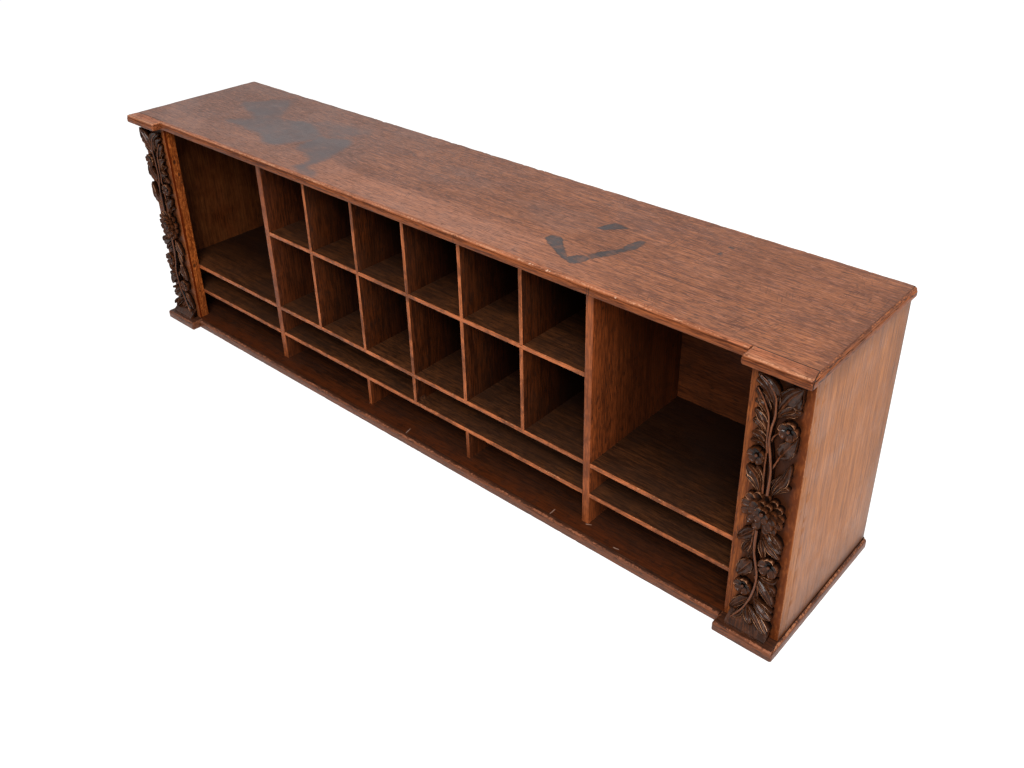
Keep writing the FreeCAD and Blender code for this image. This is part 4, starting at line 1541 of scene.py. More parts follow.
# ------ case
@dataclass
class Board:
    """A plain board: which way it stands, its finish and its wear."""

    name: str
    oak: Oak
    slot: str
    arris: float
    seed: int
    wear: float = 0.35 * MM
    chip: float = 0.5 * MM
    shoulder: float = 0.0        # length of its housed tongues, kept back from the front
    setback: float = 2.5 * MM
    front_pitch: float = 2.5 * MM    # spacing of points along the front of an upright board
    side_pitch: float = 12 * MM
    flat_rim: float = 1.2 * MM
    upright_rim: float = 0.8 * MM
    rebate: tuple[float, float] | None = None    # |x| and y of the step that takes the back panel

    def build(self) -> None:
        """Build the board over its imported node."""
        low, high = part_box(self.name)
        size = high - low
        if size.z < min(size.x, size.y):
            shell = self.flat(low, high)
        else:
            shell = self.standing(low, high)
        shell.outward().build(self.name, self.oak.build(), self.slot)

    def flat(self, low: Vector, high: Vector) -> Shell:
        """Return a shelf, its tongues behind its shoulders.

        Args:
            low: its lowest corner.
            high: its highest corner.

        Returns:
            The surface.
        """
        section = square_edge(high.z - low.z, self.arris, 2)
        y = low.y + self.setback
        x0, x1 = low.x + self.shoulder, high.x - self.shoulder
        tip = 0.05 * MM
        corners = [Corner(x0 + tip, low.y, MET, 1.0, 2 * MM), Corner(x1 - tip, low.y, MET, 0.0),
                   Corner(x1 - tip, y, 0.0, 0.0, 3 * MM), Corner(high.x, y, MET, 0.0),
                   Corner(high.x, high.y, MET, 0.0), Corner(low.x, high.y, MET, 0.0),
                   Corner(low.x, y, MET, 0.0, 3 * MM), Corner(x0 + tip, y, 0.0, 0.0)]
        return Plate(corners, low.z, section, self.wear, self.chip, self.flat_rim, self.seed).shell()

    def standing(self, low: Vector, high: Vector) -> Shell:
        """Return an upright board with rubbed front arrises.

        Args:
            low: its lowest corner.
            high: its highest corner.

        Returns:
            The surface.
        """
        plain = min(self.arris, 0.3 * MM)
        corners = [Corner(low.x, low.y, self.arris, 1.0, self.front_pitch, 1.0),
                   Corner(high.x, low.y, self.arris, 1.0, self.side_pitch, 1.0),
                   Corner(high.x, high.y, plain, 1.0, self.front_pitch * 4),
                   Corner(low.x, high.y, plain, 1.0, self.side_pitch)]
        if self.rebate:
            corners = self.rebated(corners, 1 if low.x > 0 else -1)
        return Plate(corners, low.z, upright_edge(high.z - low.z), self.wear, self.chip,
                     self.upright_rim, self.seed).shell()

    def rebated(self, corners: list[Corner], s: int) -> list[Corner]:
        """Return the plan with a step cut from its inner rear corner.

        Args:
            corners: the four corners, anticlockwise from the front left one.
            s: 1 for the right end panel, -1 for the left one.

        Returns:
            The six corners.
        """
        x, y = s * self.rebate[0], self.rebate[1]
        inner = corners[3 if s > 0 else 2]
        outer_step, step, inner_step = (Corner(a, b, 0.0) for a, b in ((x, inner.y), (x, y), (inner.x, y)))
        if s > 0:
            return corners[:3] + [outer_step, step, inner_step]
        return corners[:2] + [inner_step, step, outer_step] + corners[3:]


# ------ carving
# Carving coordinates are millimetres: u across from the middle of the drop, positive
# towards the case's end, z up from the ground, w out from the pilaster's face. The
# drawing below is laid out as one looks down on the drop from in front of its inner side.
GROUND = -0.3                # surfaces end this far inside the face board
HALF_STRIP = 28.4
STRIP_HEAD = 393.6
STEPS_ALONG = 35
STEPS_ACROSS = 33
EYE = (384.4, 969.2, 843.9)  # where the drawing is looked at from, as u, z and w
DRAWN_OUT = 4.4              # the drawing's own plane
FLUTE = 2.7                  # depth of a wide leaf's hollows
RIM = 1.3                    # how far a leaf's thin rim stands up
CURL = 1.2                   # how far its tip turns down
THINNEST = 0.9               # least height of a leaf above the face board
STEM_ALONG = 14              # steps per drawn point
STEM_ACROSS = 11
PETAL_ALONG = 24
PETAL_ACROSS = 19
KNOB_ROWS = 9
KNOB_SIDES = 32
FOOT_UP = 40
FOOT_ACROSS = 100


def placed(points: Array, out: Array) -> Array:
    """Return drawn points slid along their lines to the eye, from the drawing's plane to `out`."""
    share = (out - DRAWN_OUT) / (EYE[2] - DRAWN_OUT)
    return points + (np.array(EYE[:2]) - points) * share[..., None]


def carved(u: Array, z: Array, w: Array, marks: dict[str, Array]) -> Shell:
    """Return a carved form of the drop, kept within the drop's strip.

    Args:
        u: the form's grid, across.
        z: the same, up.
        w: the same, outwards.
        marks: values on the grid.

    Returns:
        The closed form.
    """
    shell = relief(np.stack(np.broadcast_arrays(u, z, w), -1), GROUND, 0.05, marks)
    shell.points[:, 0] = shell.points[:, 0].clip(-HALF_STRIP, HALF_STRIP)
    shell.points[:, 1] = shell.points[:, 1].clip(None, STRIP_HEAD)
    return shell


@dataclass(frozen=True)
class Leaf:
    """A carved leaf: drawn points on its midrib, half widths, flutes, lobes and relief."""

    midrib: tuple[tuple[float, float], ...]
    left: float
    right: float
    relief: Triple
    flutes: int = 1              # hollows on each side of the midrib
    lobes: int = 0
    belly: float = 0.85          # above 1 the leaf is widest near its tip
    tilt: float = 0.0

    def shell(self) -> Shell:
        """Return the leaf's surface.

        Along the midrib the half width is a power of a sine, notched between lobes.
        Across it run hollow flutes, parted by sharp crests from the foot of the leaf to
        its rim. The midrib and the thin rim stand up, and the tip curls down.

        Returns:
            The closed surface.
        """
        s = np.linspace(0, 1, STEPS_ALONG)[:, None]
        t = np.linspace(-1, 1, STEPS_ACROSS)[None]
        t = t * (1.3 - 0.3 * t ** 2)             # closer steps towards the rims
        a = abs(t)
        height = curve(np.array(self.relief)[:, None], s[:, 0])
        line = placed(curve(np.array(self.midrib), s[:, 0]), height[:, 0])
        way = np.gradient(line, axis=0)
        way /= np.linalg.norm(way, axis=1)[:, None]
        span = np.maximum(np.sin(np.pi * s ** self.belly), 0) ** 0.6
        lobe = abs(np.sin(np.pi * (self.lobes + 0.5) * s)) ** 0.5 if self.lobes else 1.0
        half = np.where(t > 0, self.right, self.left)
        reach = half * np.maximum(span * (1 - 0.24 * (1 - lobe) * a ** 3), 0.03)
        lean = 0.4 * a ** 1.6 * reach * (1 - s)
        u = line[:, :1] + way[:, 1:] * np.sign(t) * a * reach + way[:, :1] * lean
        z = line[:, 1:] - way[:, :1] * np.sign(t) * a * reach + way[:, 1:] * lean
        size = min(1.0, (self.left + self.right) / (12.0 * self.flutes ** 0.5))
        wave = abs(np.sin(np.pi * self.flutes * a ** 1.1))
        hollow = wave ** (0.9 if self.flutes > 1 else 1.3) * span * smooth(s, 0.0, 0.12)
        rib = bell(t, 0, 0.085) * (1 - 0.5 * s)
        rim = bell(a, 0.95, 0.04) * np.minimum(1, span * 1.3)
        crest = bell(wave, 0, 0.18) * (a > 0.15) * (a < 0.85)
        w = (height - FLUTE * size * hollow - 0.5 * a ** 2 * span + 1.0 * rib + RIM * rim
             + self.tilt * t * half * 0.8 - 0.7 * smooth(a, 0.965, 1.0) - CURL * smooth(s, 0.92, 1.0)
             + 0.5 * (lobe - 0.8) * a ** 2 + 0.08 * np.sin(26 * s + 5 * t))
        w = np.maximum(w, THINNEST)
        lifted = smooth(w / max(self.relief), 0.2, 0.75)
        # rubbed: rims and ribs, brighter the higher they stand: wear and painted highlight
        rubbed = np.maximum(np.maximum(rim * 1.1, rib * 0.75), 0.4 * crest) * (0.35 + 0.65 * lifted)
        # beside, within and deep: painted shade in hollows, beside the midrib and inside the rim
        beside = bell(a, 0.17, 0.05) * smooth(s, 0.05, 0.2)
        within = bell(a, 0.82, 0.07) * span
        deep = np.maximum(np.maximum(0.55 * hollow * (1 - 0.7 * lifted), 0.6 * beside), 0.5 * within)
        marks = {"rubbed": rubbed, "brown": rib * 0.7 + 0.12 * crest + 0.06 * lifted, "deep": deep}
        return carved(u, z, w, marks)


@dataclass(frozen=True)
class Stem:
    """A rounded stem that follows its drawn points."""

    points: tuple[tuple[float, float], ...]
    half: float
    relief: tuple[float, float]

    def shell(self) -> Shell:
        """Return the stem: a half round carried along the smooth line of its points.

        Returns:
            The closed surface.
        """
        s = np.linspace(0, 1, STEM_ALONG * len(self.points))[:, None]
        t = np.linspace(-1, 1, STEM_ACROSS)[None]
        height = self.relief[0] * (1 - s) + self.relief[1] * s
        line = placed(curve(np.array(self.points), s[:, 0]), height[:, 0])
        way = np.gradient(line, axis=0)
        way /= np.linalg.norm(way, axis=1)[:, None]
        half = self.half * (1 - 0.35 * s) * (1 + 0.08 * np.sin(23 * s + self.points[0][0]))
        u = line[:, :1] + way[:, 1:] * t * half
        z = line[:, 1:] - way[:, :1] * t * half
        w = height - half * (1 - np.sqrt(1 - (0.97 * t) ** 2)) * 0.9
        w = w + 0.15 * np.cos(9 * t) + 0.2 * np.sin(31 * s)
        # rubbed: a stripe to one side, wear and painted highlight; deep: painted shade on the sides
        marks = {"rubbed": bell(t, 0.1, 0.25) * 0.5, "brown": bell(t, 0, 0.7) * 1.3,
                 "deep": smooth(abs(t), 0.8, 1.0)}
        return carved(u, z, w, marks)


@dataclass(frozen=True)
class Ring:
    """A ring of petals: how many, from where to where, and how high."""

    count: int
    inner: float
    outer: float
    low: float
    high: float
    turn: float = 0.0
    cup: float = 2.0
    wide: float = 1.04           # petals above 1 overlap
    fall: float = 0.0            # how far the lower petals hang beyond the circle


@dataclass(frozen=True)
class Blossom:
    """A blossom: rings of spoon-shaped petals around a button."""

    u: float
    z: float
    rings: tuple[Ring, ...]
    button: float
    relief: float
    thinnest: float = 1.2        # least height of a petal above the face board

    def centre(self) -> Array:
        """Return the true place of its middle."""
        return placed(np.array([self.u, self.z]), np.array(self.relief * 0.75))

    def petal(self, ring: Ring, number: int) -> Shell:
        """Return one petal: a hollow spoon that widens outwards, with a thin lifted rim.

        Args:
            ring: the ring that it belongs to.
            number: its number in the ring.

        Returns:
            The closed surface.
        """
        rng = np.random.default_rng(int(self.z * 7) + 31 * number + ring.count)
        s = np.linspace(0, 1, PETAL_ALONG)[:, None] ** 0.8
        t = np.linspace(-1, 1, PETAL_ACROSS)[None]
        t = t * (1.3 - 0.3 * t ** 2)
        a = abs(t)
        turn = 2 * math.pi * (number + ring.turn) / ring.count + rng.uniform(-0.07, 0.07)
        outer = ring.outer * rng.uniform(0.92, 1.03)
        out = np.array([math.cos(turn), math.sin(turn)])
        side = np.array([-out[1], out[0]])
        half = math.pi * outer / ring.count * ring.wide
        half = half * (0.40 + 0.60 * s ** 0.7) * np.sqrt(np.maximum(1 - s ** 5, 0.004))
        outer = outer + ring.fall * max(0.0, -out[1]) ** 1.5
        reach = ring.inner + (outer - ring.inner) * (s - 0.06 * a ** 2 * s)
        u, z = (self.centre()[k] + out[k] * reach + side[k] * t * half for k in (0, 1))
        rim = np.maximum(bell(a, 0.94, 0.055) * smooth(s, 0.25, 0.7), bell(s, 0.95, 0.033))
        bowl = (1 - a ** 2.4) * np.sin(np.pi * s ** 0.9) ** 0.8
        w = (ring.low + (ring.high - ring.low) * np.sin(np.pi * 0.5 * s ** 0.8) - ring.cup * bowl
             + 0.9 * rim + 0.4 * t * rng.uniform(0.2, 1.2) - 0.8 * smooth(s, 0.97, 1.0)
             - 0.4 * smooth(a, 0.96, 1.0) + 0.3 * bell(t, 0, 0.12) * (1 - s))
        # upper petals: brighter rims as painted highlight, darker bowls as painted shade
        upper = max(0.0, out[1])
        marks = {"rubbed": rim * rng.uniform(0.6, 1.0) * (0.75 + 0.6 * upper),
                 "brown": rim * 0.5 + 0.12 * s,
                 "deep": np.maximum(0.9 * smooth(1 - s, 0.5, 1.0), (0.25 + 0.5 * upper) * bowl)}
        return carved(u, z, np.maximum(w, self.thinnest), marks)

    def knob(self, radius: float, height: float, bumps: float) -> Shell:
        """Return a dome: circles that shrink with height as a quarter sine.

        Args:
            radius: radius of its foot.
            height: how far it stands out.
            bumps: share by which its outline waves.

        Returns:
            The closed surface.
        """
        rise = np.linspace(0, 1, KNOB_ROWS)
        r = radius * np.cos(rise * math.pi * 0.46) ** 0.7
        w = GROUND + (height - GROUND) * np.sin(rise * math.pi / 2) ** 0.5
        turn = np.linspace(0, 2 * math.pi, KNOB_SIDES + 1)[:-1]
        wobble = 1 + bumps * np.cos(6 * turn)
        u = self.centre()[0] + r[:, None] * np.cos(turn) * wobble
        z = self.centre()[1] + r[:, None] * np.sin(turn) * wobble
        points = np.stack([u, z, np.broadcast_to(w[:, None], u.shape)], -1).reshape(-1, 3)
        high = np.repeat(rise, KNOB_SIDES)
        # rubbed: top of the dome, wear and painted highlight; deep: painted shade at its foot
        marks = {"rubbed": smooth(high, 0.6, 1.0) * 0.35, "brown": high * 0.5,
                 "deep": smooth(1 - high, 0.2, 0.7)}
        return Shell(points, *stacked(KNOB_ROWS, KNOB_SIDES), marks)

    def shells(self) -> list[Shell]:
        """Return all petals and the button.

        Returns:
            Their closed surfaces.
        """
        petals = [self.petal(ring, i) for ring in self.rings for i in range(ring.count)]
        bed = self.knob(self.rings[0].outer * 0.62, self.rings[0].low * 0.7, 0.0)
        return petals + [bed, self.knob(self.button, self.relief, 0.06)]


LEAVES = (
    # crown of the drop
    Leaf(((-3, 346), (-5, 360), (-13, 373), (-29, 382)), 7, 7, (6, 9.5, 7.5), 1, 0, 0.9),
    Leaf(((-7, 352), (-13, 364), (-20, 371), (-31, 374)), 6.5, 5, (4.5, 7, 6), 1, 0, 0.9),
    Leaf(((-10, 336), (-14, 346), (-19, 354), (-29, 363)), 9, 6, (4, 6, 5), 1, 2, 0.8),
    Leaf(((-9, 330), (-15, 339), (-21, 345), (-30, 347)), 5, 5, (3, 5, 4), 1, 2, 0.9),
    Leaf(((-2, 334), (5, 351), (13, 366), (25, 381)), 11.5, 16, (5, 9.5, 11.5), 2, 4, 1.15),
    Leaf(((0, 336), (8, 344), (17, 350), (27, 351)), 6, 8, (4.5, 7.5, 7), 1, 2, 1.2),
    # left side, downwards
    Leaf(((-9, 311), (-14, 321), (-20, 329), (-28, 335)), 6, 6, (4, 7.5, 6), 1, 2),
    Leaf(((-12, 308), (-17, 315), (-23, 319), (-29, 321)), 4, 4.5, (4, 6, 5)),
    Leaf(((-9, 298), (-14, 303), (-20, 305), (-28, 303.5)), 6, 4.5, (5, 8, 8), 1, 0, 0.85, -0.3),
    Leaf(((-8, 289), (-13, 295), (-20, 296), (-29, 292)), 6, 5, (3.5, 5.5, 4.5), 1, 2),
    Leaf(((-8, 229), (-13, 242), (-20, 250), (-29, 257)), 10.5, 5, (5, 9, 7.5), 2, 0, 1.2),
    Leaf(((-8, 231), (-9, 243), (-12, 253), (-17, 262)), 3.5, 3.5, (5, 7, 5.5)),
    Leaf(((-9, 227), (-16, 236), (-23, 241), (-30, 243)), 4.5, 4, (4, 5.5, 4)),
    # right side, downwards
    Leaf(((10, 284), (14, 294), (20, 305), (27, 319)), 9.5, 10.5, (6, 9.5, 7), 1, 3, 0.62, 0.05),
    Leaf(((5, 227), (10, 243), (17, 257), (23, 279)), 5, 7.5, (5, 10.5, 9.5), 1, 2, 1.2),
    Leaf(((4, 229), (6, 241), (9, 250), (13, 260)), 4.2, 4.2, (4.5, 7.5, 6.5)),
    Leaf(((12, 237), (17, 242.5), (22, 246), (27, 246)), 3.4, 3, (5, 7.5, 7)),
    # under the large blossom
    Leaf(((-9, 170), (-16, 162), (-23, 154), (-31, 145)), 8.5, 7.5, (5, 8.5, 6.5), 1, 3),
    Leaf(((-13, 151), (-16, 143), (-18.5, 137), (-20.5, 129)), 5.5, 5.2, (4, 6.5, 5.5)),
    Leaf(((-8, 150), (-9.5, 138), (-13, 125), (-17, 112)), 2.2, 2.2, (3.5, 4.5, 3.5)),
    Leaf(((2, 173), (9, 167), (17, 160), (27, 152)), 6.5, 7, (6, 9.5, 8), 1, 3, 1.0),
    Leaf(((9, 174), (15, 169.5), (21, 164), (27, 157)), 3.2, 3.6, (6, 10.5, 9.5)),
    Leaf(((3, 166), (9, 156), (16, 149), (26, 143)), 5.5, 5.5, (5, 8, 7), 1, 2),
    Leaf(((0.5, 161), (2, 150), (4.5, 142), (8, 133)), 5, 4.2, (4, 6.5, 5)),
    # lower half
    Leaf(((-8, 122), (-13, 113), (-18, 104), (-25, 91)), 10, 10, (4, 7, 5.5), 1, 3),
    Leaf(((3, 99), (10, 88), (18, 79), (27, 66)), 6.5, 6.5, (6, 10.5, 9)),
    Leaf(((5, 106), (13, 103), (20, 104), (28, 111)), 4, 5.5, (5, 8.5, 8), 1, 3),
    Leaf(((10, 98), (17, 94.5), (23, 91), (28, 84)), 3.4, 4, (5, 9, 8)),
    Leaf(((2, 67), (9, 56), (17, 49), (28, 45)), 7.5, 8.5, (5, 9.5, 9), 1, 3),
    Leaf(((2, 68), (10, 62.5), (18, 60.5), (27, 56)), 2.8, 2.8, (7, 11, 10)),
    Leaf(((-4, 50), (4, 38), (12, 27), (22, 16)), 5, 4, (6, 10, 12)),
    Leaf(((9, 45), (15, 35), (21, 27), (27, 19)), 4.2, 4, (7, 10.5, 13)),
    Leaf(((-6, 62), (-13, 53), (-21, 43), (-30, 31)), 4.5, 8, (4, 7.5, 7), 1, 2),
    Leaf(((-12, 45), (-15, 36), (-19, 27), (-27, 19)), 6, 3, (5, 7.5, 11)),
    Leaf(((-6, 51), (-5, 40), (-3, 30), (1, 21)), 6, 6, (5, 7.5, 11)),
    Leaf(((1, 82), (2, 71), (4, 62), (7, 52)), 4.5, 4, (4, 6.5, 5)),
)
STEMS = (
    Stem(((0.5, 226), (1, 245), (0.8, 262), (-2, 280), (-5.5, 299), (-5, 318), (-2.5, 335), (-3, 350),
          (-5, 360), (-13, 372), (-25, 380)), 1.9, (9.5, 9.5)),
    Stem(((-5.5, 226), (-6.5, 250), (-7, 270), (-7, 290), (-8, 305)), 1.6, (6.5, 6)),
    Stem(((-6, 284), (-8.5, 300), (-8.8, 318), (-9.8, 331), (-14, 343), (-22, 357), (-27, 363)), 1.7,
         (7, 8)),
    Stem(((1, 262), (5, 273), (9, 284), (12, 291)), 1.5, (7.2, 6.8)),
    Stem(((-4, 297), (-2, 306), (2, 313), (8, 318)), 1.4, (6.5, 6.5)),
    Stem(((-6.5, 170), (-7, 150), (-6, 136), (-3, 122), (1, 104), (0.5, 86), (-3, 66), (-11, 43), (-20, 27),
          (-28, 14)), 2.0, (9.5, 10.5)),
    Stem(((-9.5, 172), (-10.5, 157), (-11, 146), (-14, 133)), 1.5, (5.5, 5)),
    Stem(((-1, 101), (4, 86), (6, 74)), 1.5, (6.5, 6)),
)
PETALS = Ring(5, 3, 12.8, 6.0, 9.8, 0.1, 2.8, 0.92)
BLOSSOMS = (
    Blossom(-2.5, 197, (Ring(13, 12, 28.8, 5.2, 8.6, 0.2, 2.6, 0.95, 3.5),
                        Ring(9, 6, 19.5, 8.4, 11.8, 0.5, 2.6, 0.94, 6.0),
                        Ring(6, 3.2, 10.5, 10.9, 13.4, 0.1, 1.2, 0.92, 3.0)), 3.8, 14.4),
    Blossom(15.5, 323, (PETALS,), 3.0, 10.0),
    Blossom(-18.5, 275, (Ring(5, 3, 11.8, 5.4, 8.6, 0.3, 2.4, 0.92),), 2.8, 8.8),
    Blossom(15, 125, (Ring(5, 3, 13.4, 6.4, 10.6, 0.25, 2.8, 0.92, 2.5),), 3.0, 10.6),
    Blossom(-15, 77, (Ring(5, 3, 12.0, 5.4, 9.0, 0.15, 2.6, 0.92),), 2.8, 9.0),
)


@dataclass
class Drop:
    """A carved drop of leaves, stems and blossoms on a rough foot."""

    name: str
    side: int
    finish: CarvedOak = CarvedOak()
    foot_head: float = 31.0
    foot_rim: float = 18.1
    foot_out: float = 16.3
    foot_base: float = 14.15

    def foot(self) -> Shell:
        """Return the foot: a sloped block with hatched gouges over its face.

        Returns:
            The closed surface.
        """
        path = np.array([(self.foot_head, 1.2), (27.0, 6.0), (22.5, 11.5), (self.foot_rim + 0.6, 15.9),
                         (self.foot_rim - 1.0, self.foot_out), (self.foot_base, self.foot_out)])
        s = np.linspace(0, 1, FOOT_UP)
        line = np.stack([np.interp(s, np.linspace(0, 1, len(path)), path[:, k]) for k in range(2)], -1)
        u = np.linspace(-HALF_STRIP, HALF_STRIP, FOOT_ACROSS)[None] + np.zeros((FOOT_UP, 1))
        z = line[:, :1] + u * 0
        spots = np.stack([u, z * 1.2, u * 0], -1)
        rough = ripple(spots, 12.0, 41) * 0.22
        hatch = ripple(spots @ np.array([[2.2, 0.0, 0], [0.5, 0.35, 0], [0, 0, 1]]), 3.2, 43)
        slope = smooth(s, 0.02, 0.12) * (1 - smooth(s, 0.9, 1.0))
        w = line[:, 1:] - 0.6 * slope[:, None] + (rough + 0.07 * hatch) * slope[:, None]
        w = np.minimum(w, self.foot_out)
        # deep: painted shade in the gouge hollows
        marks = {"rubbed": smooth(hatch, 0.8, 1.8) * 0.25, "brown": smooth(hatch, 0.0, 1.2) * 0.3,
                 "deep": smooth(-hatch, 0.2, 1.2) * 0.2}
        return carved(u, z, w, marks)

    def build(self) -> None:
        """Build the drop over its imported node."""
        shells = [leaf.shell() for leaf in LEAVES] + [stem.shell() for stem in STEMS] + [self.foot()]
        for blossom in BLOSSOMS:
            shells += blossom.shells()
        low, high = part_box(self.name + "_pilaster_face")
        middle = (low.x + high.x) / 2
        turned = []
        for shell in shells:
            u, z, w = shell.points.T * MM
            points = np.stack([middle + self.side * u, low.y - w, z], -1)
            turned.append(Shell(points, shell.quads, shell.caps, shell.marks).outward())
        Shell.joined(turned).build(self.name + "_carving", self.finish.build(), "carved_oak", crisp=55)


# ------ stage
WHITE: Colour = (1.0, 1.0, 1.0)


@dataclass
class View:
    """The camera: where it stands, where it looks and how it frames."""

    place: Triple = (1.0062, -0.9545, 0.9692)
    azimuth: float = 40.552      # degrees from +Y towards -X
    elevation: float = 29.615    # degrees below level
    roll: float = -0.2935
    focal: float = 997.14        # in pixels of a 1024 wide frame
    centre: tuple[float, float] = (543.27, 315.45)
    frame: tuple[int, int] = (1024, 768)

    def build(self) -> None:
        """Make the camera and set it as the scene's."""
        az, el, roll = (math.radians(a) for a in (self.azimuth, self.elevation, self.roll))
        ahead = Vector((-math.sin(az) * math.cos(el), math.cos(az) * math.cos(el), -math.sin(el)))
        level = Vector((math.cos(az), math.sin(az), 0))
        above = level.cross(ahead)
        right = level * math.cos(roll) + above * math.sin(roll)
        up = above * math.cos(roll) - level * math.sin(roll)
        data = bpy.data.cameras.new("camera")
        data.sensor_width = 36.0
        data.lens = self.focal * data.sensor_width / self.frame[0]
        data.shift_x = (self.frame[0] / 2 - self.centre[0]) / self.frame[0]
        data.shift_y = (self.centre[1] - self.frame[1] / 2) / self.frame[0]
        data.clip_start = 0.05
        data.clip_end = 60
        camera = bpy.data.objects.new("camera", data)
        turn = Matrix((right, up, -ahead)).transposed()
        camera.matrix_world = Matrix.Translation(self.place) @ turn.to_4x4()
        bpy.context.scene.collection.objects.link(camera)
        bpy.context.scene.camera = camera


@dataclass
class Studio:
    """A white floor, a white surround and soft lamps."""

    floor_size: float = 14.0
    floor_drop: float = 0.2 * MM     # how far the floor lies under the cabinet
    floor_grey: Colour = (0.5, 0.5, 0.5)
    floor_glow: float = 0.82         # what the lit floor lacks to white
    key_watts: float = 112.0
    side_watts: float = 28.0
    fill: float = 0.304
    mirrored: float = 0.713          # share of the white surround that mirrors see

    def build(self) -> None:
        """Make the floor, the world and the lamps."""
        self.floor()
        self.world()
        self.lamp("key", (1.7, -2.4, 2.9), (0.1, 0, 0.2), 1.6, self.key_watts)
        self.lamp("side", (3.0, -0.3, 1.3), (0.2, 0, 0.2), 1.4, self.side_watts)

    def seen(self, g: Graph, mirrored: float) -> Wire:
        """Return 1 for what the camera sees, a share for what mirrors and glass show, else 0.

        Args:
            g: the tree of the floor's material or of the world.
            mirrored: the share.

        Returns:
            The value.
        """
        camera = g.add("LightPath", "Is Camera Ray")
        rays = camera.socket.node.outputs
        through = Wire(g, rays["Is Glossy Ray"]).top(Wire(g, rays["Is Transmission Ray"]))
        return camera.top(through * mirrored)

    def floor(self) -> None:
        """Make the floor: white to the camera, with the cabinet's soft shadow."""
        half = self.floor_size / 2
        mesh = bpy.data.meshes.new("floor")
        mesh.from_pydata([(-half, -half, 0), (half, -half, 0), (half, half, 0), (-half, half, 0)],
                         [], [(0, 1, 2, 3)])
        floor = bpy.data.objects.new("floor", mesh)
        floor.location.z = -self.floor_drop
        bpy.context.scene.collection.objects.link(floor)
        material = bpy.data.materials.new("white_floor")
        material.use_nodes = True
        tree = material.node_tree
        tree.nodes.clear()
        g = Graph(tree)
        glow = g.add("Emission", 0, None, Color=WHITE, Strength=self.seen(g, 1.0) * self.floor_glow)
        matt = g.add("BsdfDiffuse", 0, None, Color=self.floor_grey)
        out = tree.nodes.new("ShaderNodeOutputMaterial")
        g.put(out.inputs["Surface"], g.add("AddShader", 0, None, n0=glow, n1=matt))
        mesh.materials.append(material)

    def world(self) -> None:
        """Make the surround: white to the camera, a softer even fill to the surfaces."""
        world = bpy.data.worlds.new("surround")
        bpy.context.scene.world = world
        world.use_nodes = True
        tree = world.node_tree
        tree.nodes.clear()
        g = Graph(tree)
        seen = self.seen(g, self.mirrored)
        strength = g.add("MapRange", 0, None, Value=seen, To_Min=self.fill, To_Max=1.0)
        out = tree.nodes.new("ShaderNodeOutputWorld")
        g.put(out.inputs["Surface"], g.add("Background", 0, None, Color=WHITE, Strength=strength))
        bpy.context.scene.view_settings.view_transform = "Standard"

    def lamp(self, name: str, place: Triple, aim: Triple,
             size: float, watts: float) -> None:
        """Hang one square soft lamp.

        Args:
            name: the lamp's name.
            place: where it hangs.
            aim: the point that it faces.
            size: its side.
            watts: its power.
        """
        data = bpy.data.lights.new(name, "AREA")
        data.size = size
        data.energy = watts
        lamp = bpy.data.objects.new(name, data)
        turn = (Vector(aim) - Vector(place)).to_track_quat("-Z", "Y")
        lamp.matrix_world = Matrix.Translation(place) @ turn.to_matrix().to_4x4()
        bpy.context.scene.collection.objects.link(lamp)


# ------ the whole cabinet
BEHIND_PROJECTION = Joint((0.006, 1, 0), -0.1075, (1, 0, 0), 0.5865, 0.6605, 0.9 * MM)
MITRE = Joint((0.9815, 0.1915, 0), 0.6269, (0, 1, 0), -0.1345, -0.1113, 0.5 * MM)
TOP_OAK = TopOak("top_oak_worn", light=(0.465, 0.158, 0.059), dark=(0.155, 0.041, 0.016),
                 dull=(0.18, 0.072, 0.042), dullness=0.4, pored=0.58, rubbed=(0.68, 0.32, 0.18), wear=0.1,
                 seamed=0.0, shine=0.34, relief=0.4, joints=(BEHIND_PROJECTION,))
MOULDED_OAK = replace(TOP_OAK, name="moulded_oak_x", shine=0.16, joints=(BEHIND_PROJECTION, MITRE))
BASE_OAK = BaseOak("base_oak_dark", light=(0.076, 0.020, 0.006), dark=(0.018, 0.006, 0.003),
                   dull=(0.032, 0.012, 0.007), shine=0.17, grime_and_shade_share=0.6)
STRIP_OAK = FacedOak("moulded_oak_y", light=(0.36, 0.105, 0.034), dark=(0.16, 0.045, 0.014),
                     rubbed=(0.46, 0.16, 0.06), wear=-0.1, shine=0.1, grain=Grain.Y, seamed=0.3,
                     joints=(MITRE,), axis=2, start=0.4080, end=0.4092, shade=(0.14, 0.055, 0.034),
                     strength=0.85)
BASE_MOULDED_OAK = FacedOak("base_moulded_oak_x", light=(0.25, 0.072, 0.024), dark=(0.08, 0.023, 0.008),
                            rubbed=(0.38, 0.135, 0.065), shine=0.25, axis=2, start=0.0130, end=0.01385)
BASE_STRIP_OAK = FacedOak("base_moulded_oak_y", light=(0.21, 0.060, 0.020), dark=(0.06, 0.017, 0.006),
                          rubbed=(0.46, 0.18, 0.08), shine=0.25, grain=Grain.Y, axis=2, start=0.0130,
                          end=0.01385, strength=0.95)
# its inner face, inside the end bay, is darkened as painted shade
END_OAK = EndOak("end_oak_tan", shine=0.2, pored=0.0, grain=Grain.Z, wear=-0.35, start=0.6515, end=0.6495,
                 shade=(0.066, 0.0145, 0.003), strength=0.9)
BACK_OAK = Oak("back_oak_dark", light=(0.17, 0.044, 0.013), dark=(0.055, 0.014, 0.005),
               dull=(0.07, 0.024, 0.010), shine=0.15)
